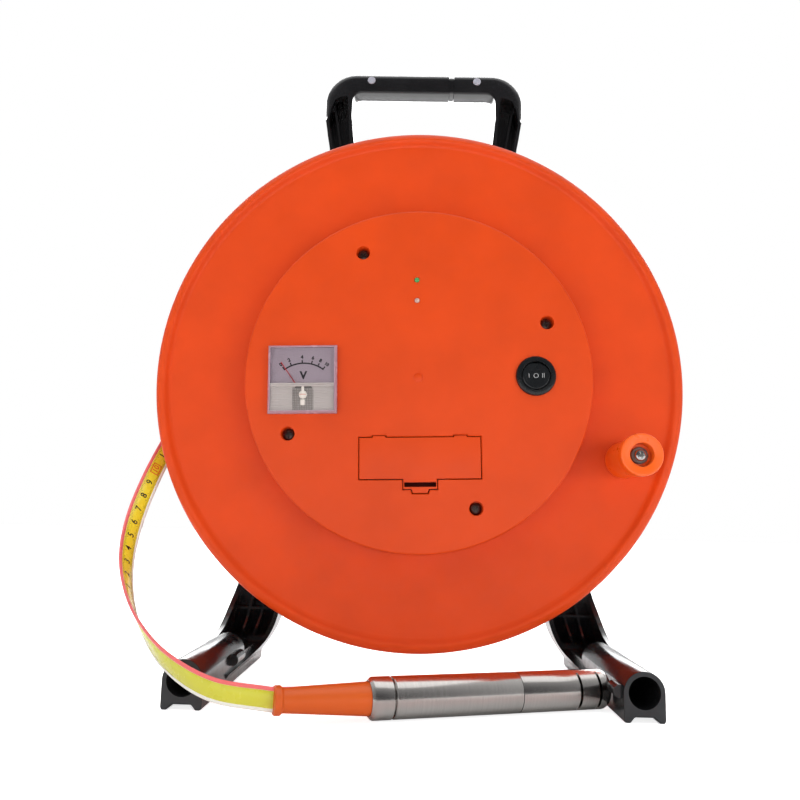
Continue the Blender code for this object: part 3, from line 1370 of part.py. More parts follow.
def make_tape(look):
    """The free tape: a flat strip along its route, rolled about its run."""
    rows = catmull([Vector((*place, math.radians(roll))) for place, roll in TAPE_ROUTE], TAPE_STEPS)
    corners = []
    faces = []
    for i, row in enumerate(rows):
        before = rows[max(i - 1, 0)].xyz
        after = rows[min(i + 1, len(rows) - 1)].xyz
        run = (after - before).normalized()
        across = Vector((0.0, 1.0, 0.0))
        across = (across - run * across.dot(run)).normalized()
        up = run.cross(across)
        wide = (across * math.cos(row.w) + up * math.sin(row.w)) * TAPE_WIDTH / 2
        thick = wide.normalized().cross(run) * TAPE_THICKNESS / 2
        for a, b in ((1, 1), (1, -1), (-1, -1), (-1, 1)):
            corners.append(row.xyz + wide * a + thick * b)
    for i in range(len(rows) - 1):
        for k in range(4):
            a = 4 * i + k
            b = 4 * i + (k + 1) % 4
            faces.append((a, b, b + 4, a + 4))
    last = 4 * (len(rows) - 1)
    faces += [(3, 2, 1, 0), (last, last + 1, last + 2, last + 3)]
    mesh = bpy.data.meshes.new("tape")
    mesh.from_pydata(corners, [], faces)
    shape = bmesh.new()
    shape.from_mesh(mesh)
    bmesh.ops.recalc_face_normals(shape, faces=shape.faces)
    shape.to_mesh(mesh)
    shape.free()
    item = piece("tape", mesh, look["tape"], None)
    smooth(item, 30.0)
    return item


def make_probe(look):
    """The boot and the probe on the floor in front of the reel, along the probe's own axis."""
    axis = frame("probe_axis", (PROBE_X, RIM_Y + PROBE_DEPTH, PROBE_RADIUS + 0.0001), (0.0, math.pi / 2, PROBE_TURN))
    boot_axis = frame("boot_axis", (0.0, 0.0, 0.0), (0.0, BOOT_TILT, 0.0), axis)
    seat = BOOT_SINK
    boot = [
        (0.0, BOOT_PLUG_END),
        (BOOT_PLUG_RADIUS, BOOT_PLUG_END),
        (BOOT_PLUG_RADIUS, seat),
        (BOOT_END_RADIUS, seat),
        (BOOT_NECK_RADIUS, BOOT_START + BOOT_RIM_LENGTH),
        (BOOT_RIM_RADIUS, BOOT_START + BOOT_RIM_LENGTH),
        (BOOT_RIM_RADIUS, BOOT_START + 0.0004),
        (BOOT_RIM_RADIUS - 0.0004, BOOT_START),
        (0.0, BOOT_START),
    ]
    turned("probe_boot", boot, look["boot"], boot_axis)

    bore = PROBE_RADIUS - PROBE_WALL
    plug = BOOT_PLUG_RADIUS + 2 * SEAT_GAP
    sink = seat + 0.0008
    collar = [
        (BOOT_END_RADIUS + SEAT_GAP * 2, 0.0),
        (BOOT_END_RADIUS + SEAT_GAP * 2, sink),
        (plug, sink),
        (plug, COLLAR_END + COLLAR_NOSE),
        (bore - SEAT_GAP, COLLAR_END + COLLAR_NOSE),
        (bore - SEAT_GAP, COLLAR_END),
        (PROBE_RADIUS, COLLAR_END),
        (PROBE_RADIUS, COLLAR_CHAMFER),
        (PROBE_RADIUS - COLLAR_CHAMFER, 0.0),
    ]
    turned("probe_collar", collar, look["steel"], axis, ring=True)
    body_start = COLLAR_END + COLLAR_GROOVE
    body = [
        (bore, BODY_END),
        (PROBE_RADIUS, BODY_END),
        (PROBE_RADIUS, body_start),
        (bore, body_start),
    ]
    turned("probe_body", body, look["steel"], axis, ring=True)
    start = BODY_END + SEAT_GAP
    neck = bore - SEAT_GAP
    throat = SENSOR_RADIUS + SEAT_GAP
    rounded = arc((PROBE_RADIUS - NOSE_ROUNDING, NOSE_END - NOSE_ROUNDING), NOSE_ROUNDING, 90, 0, 5)
    cage = [(0.0, NOSE_END)] + rounded
    cage += [
        (PROBE_RADIUS, start),
        (neck, start),
        (neck, BODY_END - CAGE_NECK),
        (throat, BODY_END - CAGE_NECK),
        (throat, start + 0.004),
        (bore, start + 0.006),
        (bore, NOSE_END - NOSE_WALL),
        (0.0, NOSE_END - NOSE_WALL),
    ]
    shell = turned("probe_cage", cage, look["steel"], axis)
    for i, place in enumerate(SLOT_PLACES):
        low = (-0.02, -0.02, place - SLOT_WIDTH / 2)
        cut(shell, box(f"cage_slot_{i}", low, (0.02, -SLOT_EDGE, place + SLOT_WIDTH / 2), None, axis))
    core = BODY_END - CAGE_NECK
    cylinder("sensor_core", SENSOR_RADIUS, core, core + SENSOR_LENGTH, look["white"], axis)
    pin = core + SENSOR_LENGTH + SEAT_GAP
    cylinder("sensor_pin", PIN_RADIUS, pin, pin + PIN_LENGTH, look["steel"], axis)
    weight = COLLAR_END + COLLAR_NOSE + 0.002
    cylinder("probe_weight", bore - SEAT_GAP, weight, weight + WEIGHT_LENGTH, look["brass"], axis)


def make_part():
    clear_scene()
    look = make_finishes()
    reel = frame("reel_axis", (0.0, RIM_Y, AXLE_HEIGHT), (math.pi / 2, -REEL_TURN, 0.0))
    axle_frame = frame("axle_axis", (0.0, RIM_Y, AXLE_HEIGHT), (math.pi / 2, 0.0, 0.0))
    make_front_flange(reel, look)
    make_rear_flange(reel, look)
    make_cover(reel, look)
    make_battery_door(reel, look)
    make_panel_screws(reel, look)
    make_meter(reel, look)
    make_switch(reel, look)
    make_lamps(reel, look)
    make_board(reel, look)
    make_battery_bay(reel, look)
    make_knob(reel, look)
    make_winding(reel, look)
    make_hub(reel, axle_frame, look)
    make_stand(look)
    make_tape(look)
    make_probe(look)


make_part()
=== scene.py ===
from math import atan2, cos, pi, radians, sin

import bmesh
import bpy
from mathutils import Matrix, Vector


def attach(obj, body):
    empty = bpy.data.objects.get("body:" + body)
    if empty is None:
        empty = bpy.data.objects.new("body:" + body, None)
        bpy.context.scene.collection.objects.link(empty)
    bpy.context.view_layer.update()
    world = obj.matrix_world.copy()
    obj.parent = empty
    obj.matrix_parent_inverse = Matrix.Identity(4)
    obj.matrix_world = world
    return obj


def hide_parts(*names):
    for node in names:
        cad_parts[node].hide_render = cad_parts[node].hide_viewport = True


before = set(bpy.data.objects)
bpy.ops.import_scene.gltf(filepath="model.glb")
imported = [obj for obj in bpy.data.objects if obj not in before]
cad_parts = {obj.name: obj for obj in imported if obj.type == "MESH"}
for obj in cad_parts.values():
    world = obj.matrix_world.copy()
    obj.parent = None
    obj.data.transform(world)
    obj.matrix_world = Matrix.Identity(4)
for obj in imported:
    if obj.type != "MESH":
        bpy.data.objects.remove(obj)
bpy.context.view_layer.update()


def shift(x, y, z=0.0):
    return Matrix.Translation((x, y, z))


def spin(degrees, axis="Z"):
    return Matrix.Rotation(radians(degrees), 4, axis)


def polar(radius, degrees):
    return (radius * cos(radians(degrees)), radius * sin(radians(degrees)))


def mm(*points):
    """Points that are given in millimetres, in metres."""
    return [tuple(value / 1000 for value in point) for point in points]


# Sizes in metres, the same values as the solids have
RIM_Y = -0.01045
AXLE_HEIGHT = 0.175
REEL = shift(0, RIM_Y, AXLE_HEIGHT) @ spin(-1.7, "Y") @ spin(90, "X")
FACE = shift(0, RIM_Y) @ spin(90, "X")
PROBE = shift(-0.0206, RIM_Y - 0.0817, 0.0099) @ spin(19.0) @ spin(90, "Y")
BOOT = PROBE @ spin(1.3, "Y")
TAPE_WIDTH = 0.0112

# Places on the reel's face
COVER_TOP = 0.0124
COVER_RADIUS = 0.1013
SCREW_PLACES = [polar(0.0821, angle) for angle in (23, 113, 203, 293)]
KNOB_PLACE = polar(0.129, -21.7)
METER = (-0.067, -0.0008)
METER_PIVOT = (-0.0665, -0.01)
SWITCH = (0.068, 0.0003)
LAMP_X = -0.0003
LAMPS = (("green", 0.0586), ("lamp", 0.0461))
DOOR_X = 0.0005

# Points of the tape's middle line, each with its roll in degrees
TAPE_ROUTE = (
    ((-0.1046, 0.036, 0.2401), -180),
    ((-0.1192, 0.0349, 0.2151), -178),
    ((-0.1323, 0.0312, 0.1896), -168),
    ((-0.1438, 0.0244, 0.1639), -150),
    ((-0.153, 0.0142, 0.1384), -132),
    ((-0.1591, 0.0001, 0.1139), -124),
    ((-0.1609, -0.0174, 0.091), -135),
    ((-0.1574, -0.0373, 0.0704), -158),
    ((-0.1481, -0.0581, 0.0526), -187),
    ((-0.1339, -0.0783, 0.0375), -212),
    ((-0.1151, -0.0962, 0.0248), -238),
    ((-0.0908, -0.108, 0.0154), -260),
    ((-0.0636, -0.1069, 0.0113), -270),
)


# Materials


def fill(node, inputs):
    """Gives each input its value, or a link where the value is another node's output."""
    for key, value in inputs.items():
        if isinstance(value, bpy.types.NodeSocket):
            node.id_data.links.new(value, node.inputs[key])
        else:
            node.inputs[key].default_value = value


def new_node(tree, kind, inputs, **settings):
    made = tree.nodes.new("ShaderNode" + kind)
    for key, value in settings.items():
        setattr(made, key, value)
    fill(made, inputs)
    return made


def new_ramp(tree, value, stops, interpolation="LINEAR"):
    """A colour by a value of 0 to 1, from two or more (place, colour) stops in order."""
    made = new_node(tree, "ValToRGB", {"Fac": value})
    made.color_ramp.interpolation = interpolation
    elements = made.color_ramp.elements
    for place, _ in stops[2:]:
        elements.new(place)
    for element, (place, colour) in zip(elements, stops):
        element.position = place
        element.color = (*colour, 1.0)
    return made.outputs["Color"]


class Look:
    """A node material with its shader and a few shorthands."""

    def __init__(self, name, colour, roughness, metallic=0.0):
        self.material = bpy.data.materials.new(name)
        self.material.use_nodes = True
        self.tree = self.material.node_tree
        self.shader = self.tree.nodes["Principled BSDF"]
        self.set({"Base Color": (*colour, 1.0), "Roughness": roughness, "Metallic": metallic})
        self.coords = self.node("TexCoord", {}).outputs["Object"]

    def node(self, kind, inputs, **settings):
        return new_node(self.tree, kind, inputs, **settings)

    def set(self, inputs):
        fill(self.shader, inputs)

    def surface(self, output):
        fill(self.tree.nodes["Material Output"], {"Surface": output})

    def noise(self, scale, detail=3.0, stretch=None):
        """A noise over the piece, with features of about one over the scale in metres."""
        source = self.coords
        if stretch:
            source = self.node("Mapping", {"Vector": source, "Scale": stretch}).outputs["Vector"]
        return self.node("TexNoise", {"Vector": source, "Scale": scale, "Detail": detail}).outputs["Fac"]

    def span(self, value, low, high):
        """A noise from its usual spread to low..high."""
        ends = {"From Min": 0.3, "From Max": 0.7, "To Min": low, "To Max": high}
        return self.node("MapRange", {"Value": value, **ends}).outputs["Result"]

    def tint(self, scale, low, high, detail=3.0, stretch=None):
        share = self.span(self.noise(scale, detail, stretch), 0, 1.0)
        self.set({"Base Color": new_ramp(self.tree, share, ((0, low), (1.0, high)))})

    def rough(self, scale, low, high, stretch=None):
        self.set({"Roughness": self.span(self.noise(scale, 3.0, stretch), low, high)})

    def bump(self, scale, microns, stretch=None):
        """A surface grain, with its height in thousandths of a millimetre."""
        grain = self.noise(scale, 2.0, stretch)
        relief = self.node("Bump", {"Height": grain, "Strength": 1.0, "Distance": microns / 1e6})
        self.set({"Normal": relief.outputs["Normal"]})


def shade(colour, factor):
    return tuple(min(1.0, channel * factor) for channel in colour)


def plastic(name, colour, roughness, grain=2500.0, microns=20.0, spread=0.06):
    look = Look(name, colour, roughness)
    look.tint(30.0, shade(colour, 1.0 - spread), shade(colour, 1.0 + spread))
    look.rough(160.0, roughness - 0.05, roughness + 0.06)
    look.bump(grain, microns)
    return look


def metal(name, colour, roughness, microns=4.0, stretch=(1.0, 1.0, 1.0)):
    look = Look(name, colour, roughness, 1.0)
    look.tint(360.0, shade(colour, 0.93), shade(colour, 1.05), 4.0, stretch)
    look.rough(900.0, roughness - 0.06, roughness + 0.07, stretch)
    look.bump(900.0, microns, stretch)
    return look


def pane_look():
    """A clear pane that lets light straight through, with a faint reflection."""
    look = Look("clear_pane", (0.98, 0.96, 0.97), 0)
    look.rough(200.0, 0, 0.05)
    look.bump(1500.0, 2.0)
    look.set({"Transmission Weight": 1.0, "IOR": 1.49})
    see = look.node("BsdfTransparent", {"Color": (0.96, 0.94, 0.95, 1.0)}).outputs["BSDF"]
    gloss = look.node("BsdfGlossy", {"Roughness": 0.05}).outputs["BSDF"]
    share = look.span(look.noise(60.0), 0.05, 0.08)
    look.surface(look.node("MixShader", {"Fac": share, 1: see, 2: gloss}).outputs["Shader"])
    return look


def wound_look():
    """Turns of the tape side by side, each with its pink wire, yellow strip and white wire, then a dark band of
    painted shade where one turn meets the next.
    """
    look = Look("wound_tape", (0.6, 0.5, 0.1), 0.35)
    along = look.node("SeparateXYZ", {"Vector": look.coords}).outputs["Z"]
    pitch = look.node("Math", {0: along, 1: 1 / 0.01235}, operation="MULTIPLY").outputs["Value"]
    wobble = look.span(look.noise(9.0), -0.05, 0.05)
    place = look.node("Math", {0: pitch, 1: wobble}, operation="ADD").outputs["Value"]
    turn = look.node("Math", {0: place}, operation="FRACT").outputs["Value"]
    # The last stop, dark brown from 0.93 to the turn's end, is painted shade in the crevice between turns
    stops = (
        (0, (0.78, 0.13, 0.12)),
        (0.17, (0.8, 0.78, 0.62)),
        (0.22, (0.58, 0.56, 0.06)),
        (0.78, (0.8, 0.79, 0.66)),
        (0.93, (0.12, 0.1, 0.06)),
    )
    look.set({"Base Color": new_ramp(look.tree, turn, stops, "CONSTANT")})
    look.rough(300.0, 0.3, 0.42)
    return look


# Each with its material's name, colour, roughness, grain scale, grain height and spread of tint
PLASTICS = {
    "orange": ("moulded_orange", (0.7, 0.058, 0.003), 0.46),
    "cover": ("cover_orange", (0.68, 0.058, 0.003), 0.44),
    "knob": ("knob_orange", (0.92, 0.125, 0.008), 0.32, 2500, 0.6),
    "black": ("moulded_black", (0.01, 0.01, 0.011), 0.2, 1800, 12, 0.25),
    "matt": ("sawn_black", (0.03, 0.031, 0.033), 0.62, 3500, 40, 0.2),
    "switch": ("switch_black", (0.006, 0.007, 0.008), 0.26, 4000, 6, 0.2),
    # slot: a near-black red with little specular, painted shade for the floor of the door's finger slot
    "slot": ("slot_dark", (0.03, 0.002, 0.001), 0.7),
    "mark": ("print_grey", (0.5, 0.5, 0.5), 0.5, 4000, 3),
    "ink": ("print_black", (0.01, 0.01, 0.012), 0.5, 4000, 2, 0.2),
    "red": ("needle_red", (0.55, 0.02, 0.03), 0.4, 4000, 2),
    "dial": ("dial_white", (0.42, 0.37, 0.41), 0.5, 5000, 3, 0.02),
    "case": ("case_pink", (0.42, 0.3, 0.36), 0.25, 3000, 3, 0.05),
    "ribbed": ("ribbed_grey", (0.47, 0.42, 0.4), 0.35, 3000, 3, 0.04),
    "smoke": ("smoke_grey", (0.11, 0.1, 0.095), 0.35, 3000, 3, 0.08),
    "grid": ("grid_grey", (0.24, 0.215, 0.2), 0.35, 3000, 3, 0.06),
    "red_tint": ("tint_red", (0.62, 0.3, 0.22), 0.4, 3000, 3, 0.04),
    "white": ("moulded_white", (0.72, 0.66, 0.6), 0.35, 3000, 4, 0.03),
    # pale grey for the two small round marks on the black grip: painted highlight, the light they catch
    "painted_highlight": ("button_grey", (0.4, 0.4, 0.46), 0.25, 3000, 3, 0.04),
    "grey": ("moulded_grey", (0.14, 0.125, 0.11), 0.45),
    "boot": ("boot_rubber", (0.66, 0.1, 0.005), 0.42, 1500, 20, 0.05),
    "board": ("board_green", (0.02, 0.14, 0.06), 0.4),
    "battery": ("battery_wrap", (0.03, 0.03, 0.035), 0.35),
    "green": ("lamp_green", (0.05, 0.35, 0.1), 0.15, 4000, 2),
    "lamp": ("lamp_clear", (0.55, 0.36, 0.3), 0.12, 4000, 2),
    "wire_pink": ("wire_pink", (0.84, 0.155, 0.155), 0.3, 1500, 6, 0.05),
    "wire_white": ("wire_white", (0.8, 0.79, 0.72), 0.28, 1500, 6, 0.03),
    "web": ("tape_web", (0.86, 0.85, 0.66), 0.22, 1500, 4, 0.03),
    "strip": ("tape_yellow", (0.88, 0.72, 0.04), 0.26, 1200, 4, 0.04),
    "strip_back": ("tape_back", (0.62, 0.6, 0.04), 0.26, 1200, 4, 0.05),
    "tape_red": ("print_red", (0.72, 0.075, 0.01), 0.4, 3000, 2),
}
# Each with its material's name, colour, roughness, grain height and stretch
METALS = {
    "steel": ("turned_steel", (0.56, 0.535, 0.51), 0.2, 1.2, (0.04, 0.04, 3.0)),
    "screw": ("screw_steel", (0.13, 0.1, 0.09), 0.36),
    "brass": ("plain_brass", (0.62, 0.42, 0.16), 0.32),
    "chrome": ("bright_steel", (0.6, 0.59, 0.57), 0.2),
}
looks = {key: plastic(*row) for key, row in PLASTICS.items()}
looks.update({key: metal(*row) for key, row in METALS.items()})
looks.update({"pane": pane_look(), "wound": wound_look()})
for names, extra in (
    ("green lamp", {"Coat Weight": 0.8}),
    ("strip strip_back web", {"Coat Weight": 0.5, "Coat Roughness": 0.08}),
    ("case", {"Coat Weight": 0.5}),
    ("orange cover", {"Specular IOR Level": 0.3}),
    ("slot", {"Specular IOR Level": 0.1}),
):
    for name in names.split():
        looks[name].set(extra)


# Geometry


def placed(name, data):
    """A new object in the scene."""
    made = bpy.data.objects.new(name, data)
    bpy.context.scene.collection.objects.link(made)
    return made


def add(name, mesh, look, replaces="", body="reel", matrix=REEL):
    """A piece on a body. Its looks and the nodes that it replaces are names with spaces between."""
    indices = [face.material_index for face in mesh.polygons]
    mesh.materials.clear()
    for entry in look.split():
        mesh.materials.append(looks[entry].material)
    for face, index in zip(mesh.polygons, indices):
        face.material_index = index
    piece = placed(name, mesh)
    piece.matrix_world = matrix
    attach(piece, body)
    if replaces:
        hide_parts(*replaces.split())
    return piece


def finished(shape, angle=35.0):
    bmesh.ops.recalc_face_normals(shape, faces=shape.faces)
    mesh = bpy.data.meshes.new("piece")
    shape.to_mesh(mesh)
    shape.free()
    mesh.shade_smooth()
    mesh.set_sharp_from_angle(angle=radians(angle))
    return mesh


def skin(shape, loops):
    """Faces from each loop of points to the next, where a loop may be a single point."""
    faces = []
    for upper, lower in zip(loops, loops[1:]):
        count = max(len(upper), len(lower))
        for i in range(count):
            j = (i + 1) % count
            corners = [upper[i % len(upper)], lower[i % len(lower)], lower[j % len(lower)], upper[j % len(upper)]]
            corners = [v for k, v in enumerate(corners) if v not in corners[:k]]
            if len(corners) > 2:
                faces.append(shape.faces.new(corners))
    return faces


def lathe(profile, sides=128, closed=False, at=(0, 0)):
    """A mesh turned about an upright axis from (radius, z) points that run down the outside."""
    shape = bmesh.new()
    rings = []
    for radius, z in profile:
        corners = [polar(radius, 360 * i / sides) for i in range(1 if radius < 1e-7 else sides)]
        rings.append([shape.verts.new((x, y, z)) for x, y in corners])
    skin(shape, rings + rings[:1] if closed else rings)
    mesh = finished(shape)
    mesh.transform(shift(*at))
    return mesh


def rounded(points, radius, steps=4):
    """A profile with each inner corner rounded to the radius, or less where its sides are short."""
    result = [points[0]]
    for before, corner, after in zip(points, points[1:], points[2:]):
        a = Vector(before) - Vector(corner)
        b = Vector(after) - Vector(corner)
        reach = min(radius, a.length * 0.45, b.length * 0.45)
        start = Vector(corner) + a.normalized() * reach
        end = Vector(corner) + b.normalized() * reach
        for i in range(steps + 1):
            t = i / steps
            point = start * (1 - t) ** 2 + Vector(corner) * 2 * t * (1 - t) + end * t**2
            result.append((point.x, point.y))
    result.append(points[-1])
    return result


def box_mesh(low, high, bevel=0.0, segments=3):
    shape = bmesh.new()
    bmesh.ops.create_cube(shape, size=1.0)
    low, high = Vector(low), Vector(high)
    bmesh.ops.scale(shape, vec=high - low, verts=shape.verts)
    bmesh.ops.translate(shape, vec=(low + high) / 2, verts=shape.verts)
    if bevel:
        bmesh.ops.bevel(shape, geom=shape.edges[:], offset=bevel, segments=segments, profile=0.5, affect="EDGES")
    return finished(shape)


def prism(outlines, low, high, bevel=0.0):
    """Flat outlines in the xy plane, with holes, solid from low to high."""
    curve = bpy.data.curves.new("outline", "CURVE")
    curve.dimensions = "2D"
    curve.fill_mode = "BOTH"
    curve.extrude = (high - low) / 2 - bevel
    curve.bevel_depth = bevel
    curve.bevel_resolution = 2
    curve.offset = -bevel
    for points in outlines:
        spline = curve.splines.new("POLY")
        spline.points.add(len(points) - 1)
        for point, (x, y) in zip(spline.points, points):
            point.co = (x, y, 0, 1.0)
        spline.use_cyclic_u = True
    return curve_mesh(curve, (0, 0, (low + high) / 2))


def curve_mesh(curve, move=(0, 0, 0)):
    drawn = placed("drawn", curve)
    bpy.context.view_layer.update()
    mesh = bpy.data.meshes.new_from_object(drawn.evaluated_get(bpy.context.evaluated_depsgraph_get()))
    bpy.data.objects.remove(drawn)
    shape = bmesh.new()
    shape.from_mesh(mesh)
    bmesh.ops.remove_doubles(shape, verts=shape.verts, dist=0.000002)
    bmesh.ops.translate(shape, vec=move, verts=shape.verts)
    return finished(shape)


def words(text, size, place=(0, 0, 0), turn=0.0, depth=0.00004, weight=0.0):
    """Lettering in the xy plane, centred on its place and turned by so many degrees."""
    curve = bpy.data.curves.new("words", "FONT")
    curve.body = text
    curve.size = size
    curve.align_x = "CENTER"
    curve.align_y = "CENTER"
    curve.extrude = depth
    curve.offset = weight
    curve.resolution_u = 6
    mesh = curve_mesh(curve)
    mesh.transform(shift(*place) @ spin(turn))
    return mesh


def marked(body, marks):
    """The body with its own material indices, and each mark with the one given."""
    shape = bmesh.new()
    shape.from_mesh(body)
    for mesh, index in marks:
        before = len(shape.faces)
        shape.from_mesh(mesh)
        shape.faces.ensure_lookup_table()
        for face in shape.faces[before:]:
            face.material_index = index
    made = bpy.data.meshes.new("merged")
    shape.to_mesh(made)
    shape.free()
    return made


def cuts(*meshes):
    return [("DIFFERENCE", mesh) for mesh in meshes]


def joins(*meshes):
    return [("UNION", mesh) for mesh in meshes]


def combine(mesh, changes):
    """The mesh after Booleans, each a pair of its kind and the other mesh."""
    base = placed("base", mesh)
    helpers = []
    for kind, other in changes:
        helpers.append(placed("helper", other))
        change = base.modifiers.new("change", "BOOLEAN")
        change.operation = kind
        change.object = helpers[-1]
        change.solver = "EXACT"
    bpy.context.view_layer.update()
    made = bpy.data.meshes.new_from_object(base.evaluated_get(bpy.context.evaluated_depsgraph_get()))
    for helper in [base] + helpers:
        bpy.data.objects.remove(helper)
    made.shade_smooth()
    made.set_sharp_from_angle(angle=radians(30.0))
    return made


def rod(radius, low, high, place=(0, 0), sides=48):
    return lathe([(0, high), (radius, high), (radius, low), (0, low)], sides, at=place)


def arc(centre, radius, start, end, count):
    angles = [start + (end - start) * i / (count - 1) for i in range(count)]
    return [(centre[0] + x, centre[1] + y) for x, y in (polar(radius, angle) for angle in angles)]


def flipped(points):
    """The points mirrored in x, in the other order."""
    return [(-x, y) for x, y in reversed(points)]


def rectangle(left, bottom, right, top):
    return [(left, bottom), (right, bottom), (right, top), (left, top)]


# Camera and light


def make_camera():
    data = bpy.data.cameras.new("camera")
    data.sensor_width = 36.0
    data.lens = 36.906
    data.clip_start = 0.01
    camera = placed("camera", data)
    place = shift(-0.00121, -0.49135, 0.09133)
    camera.matrix_world = place @ spin(1.115) @ spin(90 + 8.536, "X") @ spin(1.384)
    bpy.context.scene.camera = camera


# Each with its place, target, size, watts and the rays that don't see it
LIGHTS = {
    "left": ((-1.3, -1.0, 0.5), (0, 0, 0.15), (1.0, 0.8), 3.2, "glossy"),
    "right": ((1.2, -1.1, 0.22), (0, 0, 0.12), (0.7, 0.4), 4.8, "glossy"),
    "low": ((0, -1.1, 0.1), (0, 0, 0.05), (1.8, 0.18), 5.0, "glossy"),
    "back": ((0, 1.7, 1.15), (0, 0, 0.2), (3.0, 1.1), 60.0, "none"),
    "sky": ((0, 0.3, 2.2), (0, 0, 0.2), (3.2, 2.8), 24.0, "diffuse"),
    "top": ((0, -0.55, 1.3), (0, -0.45, 0), (1.6, 0.7), 4.8, "glossy"),
}


def area_light(name, place, target, size, power, unseen):
    data = bpy.data.lights.new(name, "AREA")
    data.shape = "RECTANGLE"
    data.size, data.size_y = size
    data.energy = power
    light = placed(name, data)
    light.location = place
    light.rotation_euler = (Vector(target) - Vector(place)).to_track_quat("-Z", "Y").to_euler()
    light.visible_glossy = unseen != "glossy"
    light.visible_diffuse = unseen != "diffuse"


def make_world():
    """White to the camera; for light and reflections dim in front of the object and bright behind it."""
    world = bpy.data.worlds.new("studio")
    bpy.context.scene.world = world
    world.use_nodes = True
    tree = world.node_tree
    coords = new_node(tree, "TexCoord", {}).outputs["Generated"]
    along = new_node(tree, "SeparateXYZ", {"Vector": coords}).outputs["Y"]
    depth = new_node(tree, "MapRange", {"Value": along, "From Min": -0.9, "From Max": 0.5}).outputs["Result"]
    soft = tree.nodes["Background"]
    dim, bright = (0.1, 0.1, 0.105), (0.85, 0.85, 0.86)
    fill(soft, {"Strength": 1.0, "Color": new_ramp(tree, depth, ((0, dim), (1.0, bright)))})
    white = new_node(tree, "Background", {"Color": (1.0, 1.0, 1.0, 1.0)}).outputs["Background"]
    sight = new_node(tree, "LightPath", {}).outputs["Is Camera Ray"]
    pick = new_node(tree, "MixShader", {"Fac": sight, 1: soft.outputs["Background"], 2: white})
    fill(tree.nodes["World Output"], {"Surface": pick.outputs["Shader"]})


def make_stage():
    bpy.context.scene.view_settings.view_transform = "Standard"
    make_world()
    mesh = bpy.data.meshes.new("floor")
    mesh.from_pydata([(-6, -6, 0), (6, -6, 0), (6, 6, 0), (-6, 6, 0)], [], [(0, 1, 2, 3)])
    look = Look("floor_white", (0.93, 0.93, 0.93), 0.6)
    look.tint(3.0, (0.925, 0.925, 0.925), (0.935, 0.935, 0.935))
    sight = look.node("LightPath", {}).outputs["Is Camera Ray"]
    gain = look.node("Math", {0: sight, 1: 0.8}, operation="MULTIPLY").outputs["Value"]
    glow = look.node("Emission", {"Strength": gain}).outputs["Emission"]
    look.surface(look.node("AddShader", {0: look.shader.outputs["BSDF"], 1: glow}).outputs["Shader"])
    mesh.materials.append(look.material)
    placed("floor", mesh)
    for name, row in LIGHTS.items():
        area_light(name, *row)


# Tape


def catmull(points, steps):
    """A smooth curve through the points, with so many steps from each to the next."""
    ends = [2 * points[0] - points[1]] + list(points) + [2 * points[-1] - points[-2]]
    curve = []
    for a, b, c, d in zip(ends, ends[1:], ends[2:], ends[3:]):
        for i in range(steps):
            t = i / steps
            bend = (2 * a - 5 * b + 4 * c - d) * t**2 + (3 * b - a - 3 * c + d) * t**3
            curve.append(0.5 * (2 * b + (c - a) * t + bend))
    curve.append(points[-1])
    return curve


class Ribbon:
    """The tape's route as frames at any distance along it."""

    def __init__(self):
        self.rows = catmull([Vector((*place, radians(roll))) for place, roll in TAPE_ROUTE], 16)
        self.shown = sum((b.xyz - a.xyz).length for a, b in zip(self.rows, self.rows[1:]))
        into = BOOT.to_3x3() @ Vector((0, 0, 0.0075))
        self.rows += [self.rows[-1] + Vector((*(into * i), 0)) for i in range(1, 5)]
        steps = [b.xyz - a.xyz for a, b in zip(self.rows, self.rows[1:])]
        self.ways = [step.normalized() for step in steps]
        self.run = [0.0]
        for step in steps:
            self.run.append(self.run[-1] + step.length)
        self.length = self.run[-1]

    def at(self, distance):
        """Point, width direction and face normal."""
        distance = min(max(distance, 0), self.length)
        index = 0
        while index < len(self.run) - 2 and self.run[index + 1] < distance:
            index += 1
        share = (distance - self.run[index]) / (self.run[index + 1] - self.run[index])
        row = self.rows[index].lerp(self.rows[index + 1], share)
        here = self.ways[index]
        before, after = self.ways[max(index - 1, 0)], self.ways[min(index + 1, len(self.ways) - 1)]
        run = ((before + here) * (1 - share) + (here + after) * share).normalized()
        across = Vector((0, 1.0, 0))
        across = (across - run * across.dot(run)).normalized()
        wide = across * cos(row.w) + run.cross(across) * sin(row.w)
        return row.xyz, wide, wide.cross(run)

    def place(self, distance, side, lift):
        point, wide, normal = self.at(distance)
        return point + wide * side + normal * lift


ribbon = Ribbon()


def tape_section():
    """The tape's section as (across, lift, look) points: wires at the edges, thin web, steel strip between."""
    wire = 0.00105
    edge = TAPE_WIDTH / 2 - wire
    web = 0.00042
    strip = 0.0038
    rise = 0.00058
    right = [(edge + wire * cos(a), wire * 0.72 * sin(a)) for a in map(radians, range(-130, 131, 20))]
    section = [(x, y, 0) for x, y in right]
    section += [(strip + 0.0002, web, 2), (strip, rise, 3), (-strip, rise, 2), (-strip - 0.0002, web, 1)]
    section += [(-x, -y, 1) for x, y in right]
    section[-1] = (*section[-1][:2], 2)
    section += [(-strip - 0.0002, -web, 2), (-strip, -rise, 4), (strip, -rise, 2), (strip + 0.0002, -web, 0)]
    return section


